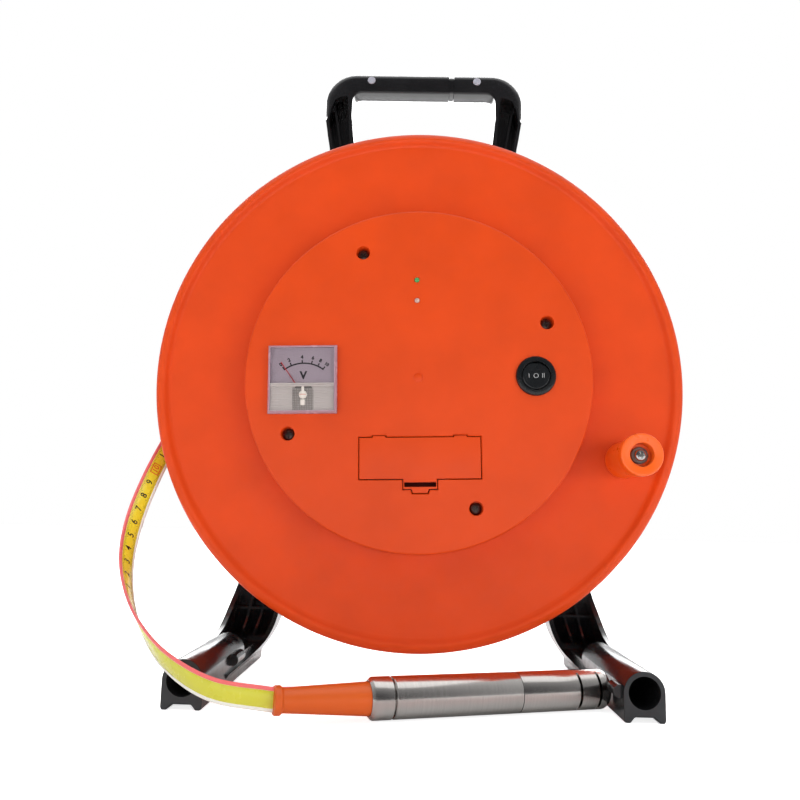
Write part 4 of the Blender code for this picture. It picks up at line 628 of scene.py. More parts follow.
def make_tape():
    section = tape_section()
    steps = 230
    shape = bmesh.new()
    loops = []
    for i in range(steps + 1):
        distance = ribbon.length * i / steps
        loops.append([shape.verts.new(ribbon.place(distance, x, y)) for x, y, _ in section])
    for face, (_, _, look) in zip(skin(shape, loops), section * steps):
        face.material_index = look
    for loop in (loops[0], loops[-1]):
        shape.faces.new(loop).material_index = 2

    ink, red = 5, 6
    marks = []
    labels = "12 1 10 9 8 7 6 5 4 3 2 1 - 9 8 7 6 5 4 3 2 1".split()
    for i, label in enumerate(labels):
        distance = 0.1175 + 0.01 * i
        if label == "10":
            marks.append((on_ribbon(words(label, 0.0047, weight=0.00008), distance), red))
            border = [rectangle(-0.0035, -0.0027, 0.0035, 0.0027), rectangle(-0.003, -0.0022, 0.003, 0.0022)]
            marks.append((on_ribbon(prism(border, -0.00004, 0.00004), distance), red))
        elif label != "-":
            marks.append((on_ribbon(words(label, 0.0056, weight=0.00008), distance), ink))
    for i in range(int(ribbon.shown / 0.001) - 8):
        reach = 0.0013 if i % 5 else 0.002
        for side in (-1, 1):
            ends = sorted((side * 0.0037, side * (0.0037 - reach)))
            tick = bpy.data.meshes.new("tick")
            corners = rectangle(-0.00008, ends[0], 0.00008, ends[1])
            tick.from_pydata([(x, y, 0.00004) for x, y in corners], [], [(0, 1, 2, 3)])
            marks.append((on_ribbon(tick, 0.005 + 0.001 * i), ink))
    mesh = marked(finished(shape, angle=50.0), marks)
    tape_looks = "wire_pink wire_white web strip strip_back ink tape_red"
    return add("tape_strip", mesh, tape_looks, "tape", "stand", Matrix())


def on_ribbon(mesh, distance):
    """A flat mark laid on the numbered face, reading towards the reel with its top to the pink wire."""
    for vertex in mesh.vertices:
        x, y, z = vertex.co
        vertex.co = ribbon.place(distance - x, y, 0.0006 + z)
    return mesh


# Probe


def make_probe():
    """The boot, the collar, the tube and the slotted nose, in turn."""
    boot = mm((0, 0.7), (7.7, 0.7), (7.7, -0.6), (5.6, -39.7), (5.7, -40.7), (6.6, -41.3), (6.6, -43.9))
    boot += mm((6.1, -44.5), (0, -44.5))
    collar = mm((8, 1.4), (6.8, 1.6), (6.8, 19.8), (8, 19.8), (8, 10.8), (9.4, 10.8), (9.8, 10.4), (9.8, 1.8))
    collar += mm((9.5, 1.2), (8.3, 0), (7.9, 0))
    tube = mm((8.3, 76), (9.7, 76), (9.8, 75.8), (9.8, 12.1), (9.3, 11.6), (8.3, 11.6))
    nose = mm((0, 126), (5.2, 126)) + arc((0.0058, 0.122), 0.004, 84, 0, 10)
    nose += mm((9.8, 76.5), (9.7, 76.3), (8, 76.3), (8, 68), (6.8, 68), (6.8, 80.3), (8.3, 82.3))
    nose += mm((8.3, 122.5), (0, 122.5))
    slots = [box_mesh((-0.02, -0.02, z - 0.0007), (0.02, -0.0041, z + 0.0007)) for z in (0.1077, 0.1185)]
    cage = combine(lathe(nose), cuts(*slots))
    pieces = [add("boot", lathe(rounded(boot, 0.0006, 3), 96), "boot", "probe_boot", "stand", BOOT)]
    for name, mesh, node in (
        ("collar", lathe(collar, closed=True), "probe_collar"),
        ("probe_tube", lathe(tube, closed=True), "probe_body"),
        ("probe_nose", cage, "probe_cage"),
    ):
        pieces.append(add(name, mesh, "steel", node, "stand", PROBE))
    return pieces


# Reel


def flange_rim(way):
    """The rim as (radius, z) from the face's inner fillet to the skirt, for a lip that rises along way."""
    points = mm((148.4, 0), (149.4, 0.2), (150.4, 1), (151.2, 2.1), (152, 2.8), (152.9, 3), (154.2, 2.7))
    points += mm((155.5, 2.1), (156.6, 1.2), (157.2, 0.3), (157.4, -0.6), (157.4, -5.2), (157.3, -5.5))
    points += mm((155.5, -5.5), (155.3, -5.2), (155.3, -3.6), (154.7, -3))
    return [(radius, z * way) for radius, z in points]


def make_flanges():
    front = mm((97, -3)) + [(radius, -0.003 + z) for radius, z in flange_rim(1.0)]
    front += mm((100.4, -6), (100, -6.4), (100, -30.85), (97, -30.85))
    mesh = combine(lathe(front, 256, True), cuts(rod(0.0028, -0.009, 0, KNOB_PLACE, 32)))
    add("front_flange_fine", mesh, "orange", "front_flange")

    rear = mm((11.8, -37), (15.5, -37), (15.8, -37.3), (15.8, -45), (97, -45), (97, -31.15), (100, -31.15))
    rear += mm((100, -55.6), (100.4, -56)) + [(radius, -0.059 + z) for radius, z in flange_rim(-1.0)[::-1]]
    rear += mm((97.5, -59), (97, -58.5), (97, -48), (15.8, -48), (15.8, -60.9), (15.5, -61.2), (11.8, -61.2))
    post = mm((2.2, 2.4), (5.3, 2.4), (5.5, 2.2), (5.5, -45.5), (2.2, -45.5))
    parts = [(lathe(post, 32, True, place), 0) for place in SCREW_PLACES]
    for i in range(12):
        rib = box_mesh((0.015, -0.0008, -0.059), (0.0975, 0.0008, -0.0478))
        rib.transform(spin(30 * i))
        parts.append((rib, 0))
    add("rear_flange_fine", marked(lathe(rear, 256, True), parts), "orange", "rear_flange")

    def side(i, z, dent):
        return (0.1003 + 0.0216 * i / 28, z + dent * (i % 2))

    count, width = 64, 0.0494
    turns = []
    for i in range(1, count - 1):
        z = -0.0063 - width * i / count
        radius = 0.1219 - 0.0002 * (i % 2)
        turns += [(radius, z), (radius, z - width / count * 0.98)]
    winding = [side(i, -0.0063, -0.00025) for i in range(28)] + mm((121.6, -6.3), (121.7, -6.6)) + turns
    winding += mm((121.6, -55.6)) + [side(i, -0.0557, 0.00025) for i in range(27, -1, -1)]
    add("winding_fine", lathe(winding, 192, True), "wound", "tape_winding")


def door_outline(grow):
    """The door with its lugs and tab, grown by the gap for its hole."""
    left, bottom, right, top = -0.03425 - grow, -0.0585 - grow, 0.03525 + grow, -0.0348 + grow
    half, wide, narrow = 0.00965 + grow, 0.005 + grow, 0.0042 + grow
    tab, tip = -0.0643 - grow, -0.0666 - grow
    x = DOOR_X
    points = [(left, bottom), (x - half, bottom), (x - half, tab), (x - wide, tab), (x - narrow, tip)]
    points += [(x + narrow, tip), (x + wide, tab), (x + half, tab), (x + half, bottom), (right, bottom), (right, top)]
    for lug in (0.0234, -0.0234):
        a, b = x + lug + 0.0039 + grow, x + lug - 0.0039 - grow
        points += [(a, top), (a - 0.0004, top + 0.0009), (b + 0.0004, top + 0.0009), (b, top)]
    return points + [(left, top)]


def make_cover():
    top, edge = COVER_TOP, COVER_RADIUS
    profile = [(0, top), (0.05, top), (0.095, top)] + arc((edge - 0.0013, top - 0.0013), 0.0013, 90, 0, 7)
    profile += [(edge, -0.0027), (edge - 0.0025, -0.0027), (edge - 0.0025, top - 0.0025), (0, top - 0.0025)]
    well = mm((0, 12.3), (5.2, 12.3), (5.2, 3), (0, 3))
    bore = mm((0, 13.4), (4.7, 13.4), (4.1, 12.25), (3.9, 11.9), (3.9, 6), (2.2, 6), (2.2, 0), (0, 0))
    mark = mm((0, 13.4), (3.1, 13.4), (2.8, 12), (2.2, 12), (1.6, 12.25), (0, 12.35))
    holes = [rod(0.0168, 0, 0.02, METER, 64), rod(0.0101, 0, 0.02, SWITCH, 64)]
    holes += [rod(0.00165, 0, 0.02, (LAMP_X, y), 32) for _, y in LAMPS]
    holes += [lathe(bore, 64, at=place) for place in SCREW_PLACES]
    holes += [lathe(mark, 48), prism([door_outline(0.0005)], 0, top + 0.002)]
    rows = []
    for grow, z in ((0.0005, top - 0.0005), (0.00105, top + 0.0001)):
        rows += [(x, y, z) for x, y in door_outline(grow)]
    count = len(rows) // 2
    faces = [tuple(range(count))[::-1], tuple(range(count, 2 * count))]
    faces += [(i, (i + 1) % count, count + (i + 1) % count, count + i) for i in range(count)]
    chamfer = bpy.data.meshes.new("chamfer")
    chamfer.from_pydata(rows, [], faces)
    wells = [lathe(well, 48, at=place) for place in SCREW_PLACES]
    mesh = combine(lathe(profile, 256), joins(*wells) + cuts(*holes, chamfer))
    add("cover_fine", mesh, "cover", "instrument_cover")


def make_door():
    top = COVER_TOP
    low, high = DOOR_X - 0.0091, DOOR_X + 0.0091
    slot = box_mesh((low, -0.0631, top - 0.006), (high, -0.0603, top + 0.001), 0.0003, 2)
    mesh = combine(prism([door_outline(0)], top - 0.002, top, 0.00035), cuts(slot))
    hooks = []
    for x in (DOOR_X - 0.0234, DOOR_X + 0.0234):
        for front, depth, height in ((-0.0323, -0.0036, -0.0028), (-0.0352, -0.0034, -0.0012)):
            hook = box_mesh((x - 0.0035, -0.0362, top + depth), (x + 0.0035, front, top + height), 0.0002)
            hooks.append((hook, 0))
    # A thin near-black red sheet on the slot's floor: painted shade in the recess
    hooks.append((box_mesh((low, -0.0633, top - 0.0046), (high, -0.0601, top - 0.004)), 1))
    hooks.append((box_mesh((low, -0.0604, top - 0.0045), (high, -0.0598, top - 0.0015)), 0))
    add("door_fine", marked(mesh, hooks), "cover slot", "battery_door", "door")


def screw_mesh(radius, seat, arm, shank=0.018):
    """A pan head with a cross recess and a plain shank below its seat."""
    crown = seat + 0.0022
    profile = [(0, crown), (radius * 0.55, crown - 0.00005), (radius * 0.85, crown - 0.0004)]
    profile += [(radius, crown - 0.0011), (radius, seat), (0.0018, seat), (0.0018, seat - shank), (0, seat - shank)]
    slots = []
    for x, y in ((arm, arm * 0.24), (arm * 0.24, arm)):
        slots.append(box_mesh((-x, -y, crown - 0.0013), (x, y, crown + 0.001)))
    mesh = combine(lathe(profile, 48), cuts(*slots))
    mesh.transform(spin(17))
    return mesh


def make_screws():
    for i, place in enumerate(SCREW_PLACES):
        mesh = screw_mesh(0.0034, 0.006, 0.0021)
        mesh.transform(spin(37 * i))
        mesh.transform(shift(*place))
        add(f"cover_screw_{i + 1}", mesh, "screw", f"panel_screw_{i + 1}")


def make_meter_body():
    cx, cy = METER

    def panel(half, low, high, bevel=0.0):
        return prism([rectangle(cx - half, cy - half, cx + half, cy + half)], low, high, bevel)

    case = marked(panel(0.02, 0.0127, 0.0139, 0.0004), [(panel(0.0185, 0.0135, 0.0141), 0)])
    add("meter_body", case, "case", "meter_case")
    drum = mm((0, 13), (16.5, 13), (16.5, -11.8), (16.2, -12.1), (0, -12.1))
    add("meter_drum", lathe(drum, 64, at=METER), "switch", "meter_barrel meter_magnet")

    # The frame round the pane, as (half size, z) rows of its section
    shape = bmesh.new()
    loops = []
    for half, z in mm((20, 13.9), (20, 15.1), (19.8, 15.7), (18.8, 17.4), (18.4, 17.4), (18.4, 16.6), (18.4, 13.9)):
        corners = rectangle(cx - half, cy - half, cx + half, cy + half)
        loops.append([shape.verts.new((x, y, z)) for x, y in corners])
    skin(shape, loops + loops[:1])
    add("meter_frame", finished(shape, angle=10.0), "case")


# The height on the meter where its dial ends and its ribbed cover starts
SPLIT = -0.0037


def make_dial():
    cx, cy = METER
    dial = box_mesh((cx - 0.0184, SPLIT, 0.0142), (cx + 0.0184, cy + 0.0184, 0.015))
    ax, ay = -0.0663, -0.0102
    radius, wide, sweep = 0.0188, 0.00042, 36.4
    band = arc((ax, ay), radius + wide, 90 - sweep, 90 + sweep, 33)
    band += arc((ax, ay), radius - wide, 90 + sweep, 90 - sweep, 33)
    marks = [prism([band], 0.015, 0.01504)]
    for label, angle in zip("0 2 4 6 8 10".split(), (-sweep, -22.5, -2.7, 13.7, 25.7, sweep)):
        tick = prism([rectangle(-0.00036, radius - wide, 0.00036, radius + 0.0019)], 0.015, 0.01504)
        tick.transform(shift(ax, ay) @ spin(-angle))
        x, y = polar(radius + 0.0036, 90 - angle)
        size = 0.0025 if label == "10" else 0.0028
        marks += [tick, words(label, size, (ax + x, ay + y, 0.01502), -angle, 0.00002, 0.00014)]
    marks.append(words("V", 0.0062, (ax - 0.0002, ay + 0.0115, 0.01502), 0, 0.00002, 0.00025))
    add("meter_face", marked(dial, [(mark, 1) for mark in marks]), "dial ink", "meter_dial")

    pane = prism([rectangle(cx - 0.0184, SPLIT + 0.0002, cx + 0.0184, cy + 0.0184)], 0.0166, 0.0173)
    add("meter_window", pane, "pane")


def make_meter_cover():
    cx, cy = METER
    ribs = []

    def rib(x0, x1, y0, y1, z0, z1, bevel, segments, look):
        ribs.append((box_mesh((x0, y0, z0), (x1, y1, z1), bevel, segments), look))

    step = 0.00098
    rib(cx - 0.0184, cx + 0.0184, SPLIT - 0.0016, SPLIT - 0.0003, 0.0155, 0.0172, 0.0004, 3, 0)
    rib(cx - 0.0184, cx + 0.0184, SPLIT - 0.0003, SPLIT + 0.0004, 0.015, 0.0177, 0.00025, 3, 0)
    for i in range(13):
        y = SPLIT - 0.0024 - step * i
        for left, right in ((-0.0182, -0.0058), (0.0072, 0.0182)):
            rib(cx + left, cx + right, y - 0.0003, y + 0.0003, 0.0157, 0.0162, 0.00012, 2, 0)
    for i in range(12):
        x, y = cx - 0.0052 + step * i, cy - 0.0175 + step * i
        rib(x - 0.00018, x + 0.00018, cy - 0.0181, SPLIT - 0.0018, 0.0157, 0.0163, 0.00008, 2, 2)
        rib(cx - 0.0056, cx + 0.0066, y - 0.00018, y + 0.00018, 0.0157, 0.0162, 0.00008, 2, 2)
    rib(-0.068, -0.0651, -0.0163, -0.0126, 0.0157, 0.0165, 0.0006, 3, 3)
    dome = [(cx + 0.0008 + 0.005 * cos(a), SPLIT - 0.0026 + 0.0023 * sin(a)) for a in map(radians, range(0, 181, 12))]
    ribs.append((prism([dome], 0.016, 0.01685, 0.0002), 1))
    floor = box_mesh((cx - 0.0184, cy - 0.0184, 0.0142), (cx + 0.0184, SPLIT, 0.0158))
    add("meter_cover", marked(floor, ribs), "ribbed smoke grid white")


def make_needle():
    x, y = METER_PIVOT
    bulb = lathe(mm((0, 17.6), (1.4, 17.4), (2.2, 16.8), (2.5, 16), (0, 16)), 48, at=METER_PIVOT)
    blade = box_mesh((x - 0.0018, y - 0.0002, 0.0168), (x + 0.0018, y + 0.0002, 0.0178), 0.0001, 1)
    rise = box_mesh((x - 0.0009, y + 0.001, 0.016), (x + 0.0009, y + 0.0048, 0.0172), 0.0006, 3)
    screw = marked(bulb, [(blade, 1), (rise, 0)])
    add("zero_screw_fine", screw, "white red_tint", "zero_adjuster", "zero_screw")

    needle = box_mesh((x - 0.00022, y + 0.0052, 0.0155), (x + 0.00022, y + 0.0232, 0.0158))
    tail = box_mesh((x - 0.00022, y, 0.0153), (x + 0.00022, y + 0.0053, 0.0156))
    for mesh in (needle, tail):
        mesh.transform(shift(x, y) @ spin(34.0) @ shift(-x, -y))
    hub = lathe(mm((0, 15.8), (1.4, 15.8), (1.4, 15.2), (0, 15.2)), 32, at=METER_PIVOT)
    add("needle_fine", marked(needle, [(hub, 0), (tail, 0)]), "red", "meter_needle", "needle")


def make_switch():
    bezel = mm((8.4, 14.2), (8.8, 14.5), (10.2, 14.5), (11.2, 14.1), (11.6, 13.3), (11.6, 12.6))
    bezel += mm((9.8, 12.6), (9.8, -3.5), (0, -3.5))
    well = mm((0, 7.2), (8.4, 7.2), (8.4, 14.2), (8.8, 14.5))
    shell = marked(lathe(bezel, 96, at=SWITCH), [(lathe(well, 96, at=SWITCH), 0)])
    add("switch_shell", shell, "switch", "switch_body")

    steps, sides, half, dish = 20, 96, 0.0079, 0.0012
    shape = bmesh.new()
    rings = []
    for k in range(steps + 1):
        radius = half * k / steps
        edge = 0.0005 * max(0, (radius - 0.0072) / 0.0007) ** 2
        corners = [polar(radius, 360 * i / sides) for i in range(sides if k else 1)]
        rings.append([shape.verts.new((x, y, 0.0133 + dish * (x / half) ** 2 - edge)) for x, y in corners])
    rings.append([shape.verts.new((v.co.x, v.co.y, 0.01)) for v in rings[-1]])
    skin(shape, rings)
    shape.faces.new(rings[-1][::-1])
    rocker = finished(shape, angle=40.0)
    rocker.transform(shift(*SWITCH))
    marks = []
    for text, x in (("I", -0.0041), ("O", 0), ("II", 0.0041)):
        letters = words(text, 0.004, depth=0.00005, weight=-0.00006)
        slope = Matrix.Rotation(-atan2(2 * dish * x / half**2, 1.0), 4, "Y")
        letters.transform(shift(SWITCH[0] + x, SWITCH[1], 0.01338 + dish * (x / half) ** 2) @ slope)
        marks.append((letters, 1))
    add("rocker_fine", marked(rocker, marks), "switch mark", "rocker", "switch_rocker")


def make_lamps():
    profile = mm((0, 13.5), (0.6, 13.4), (1.2, 13), (1.5, 12.4), (1.5, 9.2), (2, 9.2), (2, 8.2), (1.5, 8.2))
    profile += mm((1.5, -1.7), (0, -1.7))
    for look, y in LAMPS:
        node = "green_lamp" if look == "green" else "clear_lamp"
        add(f"{look}_led", lathe(profile, 48, at=(LAMP_X, y)), look, node)


def make_knob():
    knob = REEL @ shift(*KNOB_PLACE)
    profile = mm((6.4, 30.6), (6.4, 37.7), (6.6, 38.3), (7.2, 38.6), (10, 38.6), (10.6, 38.7))
    profile += arc((0.0108, 0.0379), 0.0008, 80, 0, 7)
    profile += mm((11.6, 32.6), (11.4, 29.6), (10.6, 20.6), (10.1, 12.6), (10, 8), (10.1, 3), (10.4, 0))
    profile += mm((10.6, -1.4), (10.6, -2.6), (3.1, -2.6), (3.1, 30.6))
    add("knob_fine", lathe(profile, 128, True), "knob", "crank_knob", "knob", knob)
    bush = mm((2.8, 33.4), (4.1, 33.4), (4.6, 32.9), (4.6, 30.9), (2.8, 30.9))
    add("bush_fine", lathe(bush, 64, True), "grey", "knob_bush", "reel", knob)
    bolt = screw_mesh(0.0031, 0.0337, 0.0019, 0.044)
    add("bolt_fine", bolt, "chrome", "knob_bolt", "reel", knob)


# Stand, with depths measured back from the front flange's lip

LEG_FRONT = 0.066
LEG_BACK = 0.088
HANDLE_TOP = 0.4102
WAIST = 0.345
GRIP = 0.0145
HALF_WIDTH = 0.0703
OPENING = 0.051
FOOT = 0.111
FOOT_AXIS = 0.0138
FOOT_FRONT = -0.0714
# The right leg's height with its outer and inner x
LEG_STATIONS = mm(
    *((5, 121, 101.2), (10, 121, 97.8), (18, 120.9, 92.6), (27, 120.4, 88.8), (36, 118.8, 86.8)),
    *((47, 115.6, 85.1), (60, 112, 83.2), (85, 106.5, 79.5), (110, 102.6, 76.5), (320, 69.4, 51)),
    *((345, 65.5, 48), (362, 67.6, 49.5), (378, 70.1, 51.2)),
)
# The front edges of the inner and outer leg walls and of the web, as (depth, height)
INNER_SWEEP = mm((66.1, 40), (66, 17), (64, 13.5), (58, 11.5), (43, 10), (20, 8.8), (-20, 7.8))
LEG_SWEEP = mm((66.1, 90), (66, 66), (64.5, 47), (58, 34), (45, 25.2), (22, 20.5), (-20, 17.8))
WEB_SWEEP = mm((84, 90), (84, 64), (83.8, 50), (83, 38), (80, 26), (70, 18), (40, 15))
leg_rows = catmull([Vector(row) for row in LEG_STATIONS], 6)


def leg_edges(height):
    """Outer and inner x of the right leg at a height."""
    for low, high in zip(leg_rows, leg_rows[1:]):
        if height <= high.x:
            share = max(0, (height - low.x) / (high.x - low.x))
            return low.y + (high.y - low.y) * share, low.z + (high.z - low.z) * share
    return leg_rows[-1].y, leg_rows[-1].z


def heights(low, high, step=0.004):
    count = max(2, int((high - low) / step) + 1)
    return [low + (high - low) * i / (count - 1) for i in range(count)]


def faced(mesh):
    """A mesh of the stand's front view, with z forward, in world coordinates."""
    mesh.transform(FACE)
    return mesh


def sided(points, half=0.16, x=0.0):
    """A side view's outline of (depth, height), solid across x, in world coordinates."""
    mesh = prism([points], -half, half)
    mesh.transform(shift(x, RIM_Y) @ spin(90) @ spin(90, "X"))
    return mesh


def flat_catmull(points, steps):
    return [(p.x, p.y) for p in catmull([Vector((*point, 0)) for point in points], steps)]


def grip_section():
    """The grip's section as (share of the way in, depth), round and squared off, point by point."""
    depth = LEG_BACK - LEG_FRONT + 0.0002
    round_front = 0.005
    inward = round_front / GRIP
    angles = [pi / 2 * i / 9 for i in range(10)]
    front = [(inward * (1 - cos(a)), round_front * (1 - sin(a))) for a in angles]
    square = [(0, round_front * (1 - i / 7)) for i in range(8)] + [(inward * 0.5, 0), (inward, 0)]
    front += [(1 - 0.0009 / GRIP, 0), (1 - 0.0003 / GRIP, 0.0003), (1.0, 0.0009)]
    square += [(1 - 0.0009 / GRIP, 0), (1 - 0.0003 / GRIP, 0.0001), (1.0, 0.0009)]
    bend = flat_catmull(((1.0, 0.1), (0.985, 0.36), (0.93, 0.64), (0.8, 0.83), (0.58, 0.955), (0.35, 1.0)), 4)
    for i, (x, y) in enumerate(bend):
        front.append((x, y * depth))
        share = i / (len(bend) - 1)
        square.append((1.0, (0.1 + share * 1.125) * depth) if share <= 0.8 else (1.0 - (share - 0.8) * 3.2, depth))
    front += [(0.18, depth * 0.975), (0.05, depth * 0.88), (0, depth * 0.72)]
    square += [(0.18, depth), (0, depth), (0, depth * 0.72)]
    return front, square


def make_bow():
    """The handle over the legs, swept along its inner and outer edge."""
    low, high = HANDLE_TOP - GRIP - 0.0227, HANDLE_TOP - 0.0322
    right = []
    for height in heights(low, high, 0.0015):
        x_out, x_in = leg_edges(height)
        share = 0.55 * (height - low) / (high - low)
        right.append(((x_out + 0.0001, height), (x_in - 0.0001, height), share, 0))
    corner = arc((HALF_WIDTH - 0.022, HANDLE_TOP - 0.022), 0.022, 0, 90, 22)
    inside = arc((OPENING - 0.007, HANDLE_TOP - GRIP - 0.007), 0.007, 0, 90, 22)
    for i, (a, b) in enumerate(zip(corner, inside)):
        right.append((a, b, min(1.0, 0.8 + i * 0.06), 0))
    across = []
    for x, sink in ((0.0215, 0), (0.0211, 0.0008), (0.0183, 0.0008), (0.0179, 0)):
        across.append(((x, HANDLE_TOP), (x, HANDLE_TOP - GRIP), 1.0, sink))
    left = [((-a, b), (-c, d), share, sink) for (a, b), (c, d), share, sink in reversed(right)]
    section, square = grip_section()
    shape = bmesh.new()
    loops = []
    for (ox, oz), (ix, iz), share, sink in right + across + left:
        loop = []
        for (in_a, depth_a), (in_b, depth_b) in zip(section, square):
            inward = in_a * share + in_b * (1 - share)
            depth = depth_a * share + depth_b * (1 - share)
            inward += (0.5 - inward) * sink / (GRIP / 2)
            depth += (0.011 - depth) * sink / 0.011
            y = RIM_Y + LEG_FRONT - 0.0001 + depth
            loop.append(shape.verts.new((ox + (ix - ox) * inward, y, oz + (iz - oz) * inward)))
        loops.append(loop)
    skin(shape, loops)
    shape.faces.new(loops[0])
    shape.faces.new(loops[-1][::-1])
    return finished(shape)


def pocket(low, high, column, columns, inset, rib):
    """One pocket of the right leg between its walls, as a closed loop."""
    outer = []
    inner = []
    for height in heights(low, high):
        x_out, x_in = leg_edges(height)
        x_out -= inset
        x_in += inset
        pitch = (x_out - x_in) / columns
        inner.append((x_in + pitch * column + (rib / 2 if column else 0), height))
        outer.append((x_in + pitch * (column + 1) - (0.0 if column == columns - 1 else rib / 2), height))
    return outer + inner[::-1]


def pocket_top():
    rows = mm((3.1, 37), (3.3, 34), (4.5, 27), (7.1, 20.6), (11.8, 18.2), (15.8, 17.8))
    return [(HALF_WIDTH - inward, HANDLE_TOP - down) for inward, down in rows]


def top_cells(low):
    """The top pocket on both sides of a fin that leans out to the outer wall."""
    half = 0.0007
    outline = pocket_top()
    fin = [(sum(leg_edges(h)) / 2, h) for h in heights(low, WAIST)]
    top = (HALF_WIDTH - 0.0054, HANDLE_TOP - 0.022)
    outer = [(x + half, y) for x, y in fin] + [(top[0] - half, top[1] - 0.004)]
    outer += [outline[2], outline[1], outline[0]]
    outer += [(leg_edges(h)[0] - 0.0032, h) for h in reversed(heights(low, WAIST + 0.012))]
    inner = [(leg_edges(h)[1] + 0.0032, h) for h in heights(low, WAIST + 0.02)]
    inner += [(outline[-1][0], outline[-1][1] - 0.004)] + outline[:2:-1]
    inner += [(top[0] - 2 * half, top[1])] + [(x - half, y) for x, y in reversed(fin)]
    return [outer, inner]


def mirrored(loops):
    return loops + [flipped(loop) for loop in loops]


def sole(centre):
    """Section of a foot: a round top over two ridges."""
    points = mm((-10, 1.4), (-9.5, 0.2), (-8.8, 0), (-7.2, 0), (-6.8, 0.2), (-5.2, 2.2), (-4.5, 2.6))
    points += flipped(points)
    return [(centre + x, y) for x, y in points + arc((0, FOOT_AXIS), 0.01, 0, 180, 49)]


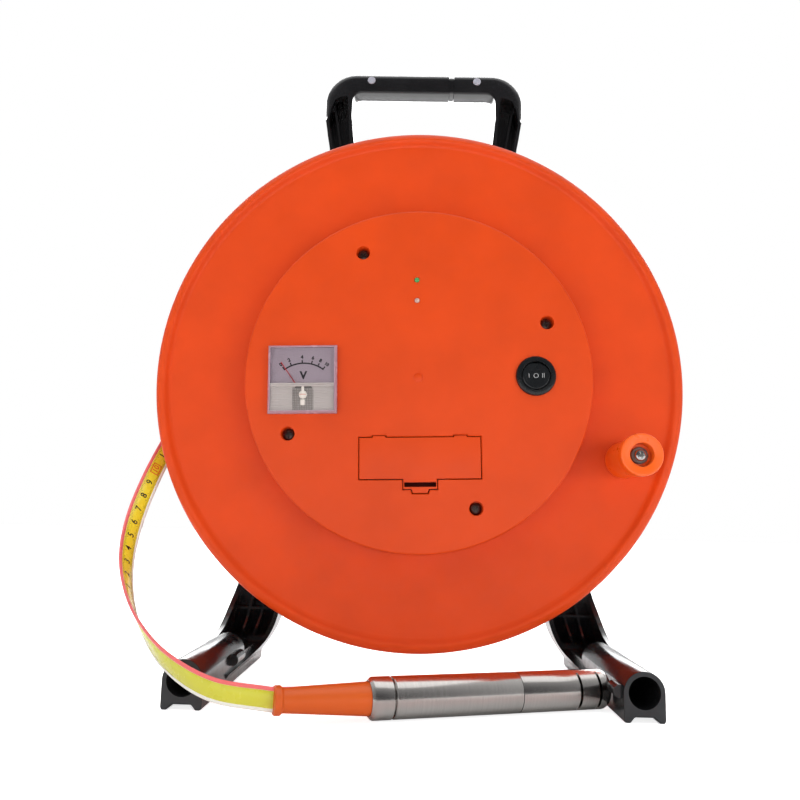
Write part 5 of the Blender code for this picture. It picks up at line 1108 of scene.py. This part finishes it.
def make_stand():
    bar_low, bar_high = 0.149, 0.201
    opening_low = HANDLE_TOP - GRIP - 0.0761
    tie_low = opening_low - 0.016
    top = HANDLE_TOP - GRIP - 0.0227 + 0.0009
    right = [(leg_edges(h)[1], h) for h in reversed(heights(0.005, bar_low))]
    right += [(leg_edges(h)[0], h) for h in heights(0.005, top)]
    right += [(leg_edges(h)[1], h) for h in reversed(heights(opening_low, top))]
    outline = right + flipped(right)
    window = [(leg_edges(h)[1], h) for h in heights(bar_high, tie_low)]
    window += flipped(window)
    plate = faced(prism([outline, window], -LEG_BACK, 0.02))

    above = HANDLE_TOP + 0.003
    side = [(LEG_BACK + 0.001, 0.003), (LEG_BACK + 0.001, above), (LEG_FRONT, above)]
    side += flat_catmull(INNER_SWEEP, 5) + [(-0.021, 0.0078), (-0.021, 0.003)]
    swept = [(0.07, 0.004), (0.07, 0.0615), (0.0659, 0.0615)]
    swept += [(depth, height) for depth, height in flat_catmull(LEG_SWEEP, 5) if height < 0.0614 and depth > -0.0195]
    swept += [(-0.0195, 0.0178), (-0.0195, 0.004)]
    region = combine(sided(side), joins(*(sided(swept, 0.02, x) for x in (-0.127, 0.127))))

    breaks = [0.034, 0.1, bar_low, bar_high, 0.255, tie_low]
    half_rib = 0.0007
    spans = [(low + half_rib, high - half_rib) for low, high in zip(breaks, breaks[1:])]
    cells = []
    for span in [(0.007, breaks[0] - half_rib)] + spans:
        cells += [pocket(*span, column, 3, 0.0032, 2 * half_rib) for column in range(3)]
    cells += top_cells(tie_low + half_rib)
    inner = 0.028
    for low, high in ((bar_low + 0.003, 0.1736), (0.1764, bar_high - 0.003)):
        outer = [(leg_edges(height)[1] - 0.001, height) for height in (low, high)]
        cells.append([(inner, low), *outer, (inner, high)])
    web = flat_catmull(WEB_SWEEP, 5)

    def carved(loops, forward):
        """The pockets as one cutter, from the front down to the web."""
        points = [(0.084 - forward, above)] + [(depth - forward, height) for depth, height in web]
        points += [(0.04 - forward, 0), (-0.09, 0), (-0.09, above)]
        cutter = faced(prism(mirrored(loops), -LEG_BACK - 0.004, 0.088))
        return combine(cutter, [("INTERSECT", sided(points))])

    channel = pocket(0.007, WAIST, 0, 1, 0.003, 0)
    middle = len(channel) // 2
    channel = channel[:middle] + pocket_top() + channel[middle:]
    changes = [("INTERSECT", region)] + joins(make_bow()) + cuts(carved(cells, 0), carved([channel], 0.011))
    for x, near, far in ((FOOT, -0.068, -0.055), (-FOOT, -0.01, 0.01)):
        back = faced(prism([rectangle(x - 0.02, 0.0135, x + 0.02, 0.03)], -LEG_BACK - 0.004, -0.027))
        foot = faced(prism([sole(x)], -LEG_BACK + 0.0001, -FOOT_FRONT, 0.0004))
        stub = faced(rod(0.0032, -far, -near, (x * (1 - 0.01096 / FOOT), FOOT_AXIS), 32))
        changes += joins(combine(foot, cuts(back)), stub)
    axle = (0, AXLE_HEIGHT)
    changes += joins(faced(rod(0.024, -LEG_BACK + 0.0001, -0.0665, axle, 96)))
    changes += cuts(faced(rod(0.027, -0.0665, 0, axle, 96)), faced(rod(0.0083, -LEG_BACK - 0.001, 0, axle, 64)))
    bore = [(r, z - FOOT_FRONT) for r, z in mm((0, 1), (8.1, 1), (7.5, -0.5), (7.5, -60), (0, -60))]
    changes += cuts(*(faced(lathe(bore, 64, at=(x, FOOT_AXIS))) for x in (-FOOT, FOOT)))
    mesh = combine(plate, changes)
    for face in mesh.polygons:
        if face.center.y < RIM_Y + FOOT_FRONT + 0.0003 and face.normal.y < -0.9:
            face.material_index = 1
    add("stand_fine", mesh, "black matt", "stand", "stand", Matrix())

    # Two small round bosses on the grip. Their shape is real; their pale grey is a painted highlight on the black
    # handle.
    profile = rounded(mm((0, 0.9), (2.8, 0.9), (2.8, -3), (0, -3)), 0.0005, 3)
    for name, x in (("grip_button_l", -0.0377), ("grip_button_r", 0.0377)):
        button = lathe(profile, 48)
        button.transform(shift(x, RIM_Y + LEG_FRONT + 0.0003, HANDLE_TOP - 0.0056) @ spin(84, "X"))
        add(name, button, "painted_highlight", "", "stand", Matrix())


make_camera()
make_stage()
tape = make_tape()
probe_pieces = make_probe()

make_flanges()
make_cover()
make_door()
make_screws()
make_meter_body()
make_dial()
make_meter_cover()
make_needle()
make_switch()
make_lamps()
make_knob()
make_stand()

# The solids inside, which no piece of the scene replaces
NODE_LOOKS = {
    "black": "battery_tray",
    "switch": "buzzer battery_snap",
    "steel": "axle axle_nut axle_washer axle_screw sensor_pin",
    "screw": "knob_nut",
    "brass": "switch_terminal_1 switch_terminal_2 switch_terminal_3 probe_weight",
    "white": "sensor_core",
    "grey": "hub_bush_front hub_bush_rear",
    "board": "circuit_board",
    "battery": "battery",
}
for look, names in NODE_LOOKS.items():
    for name in names.split():
        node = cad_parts[name]
        node.data.materials.clear()
        node.data.materials.append(looks[look].material)
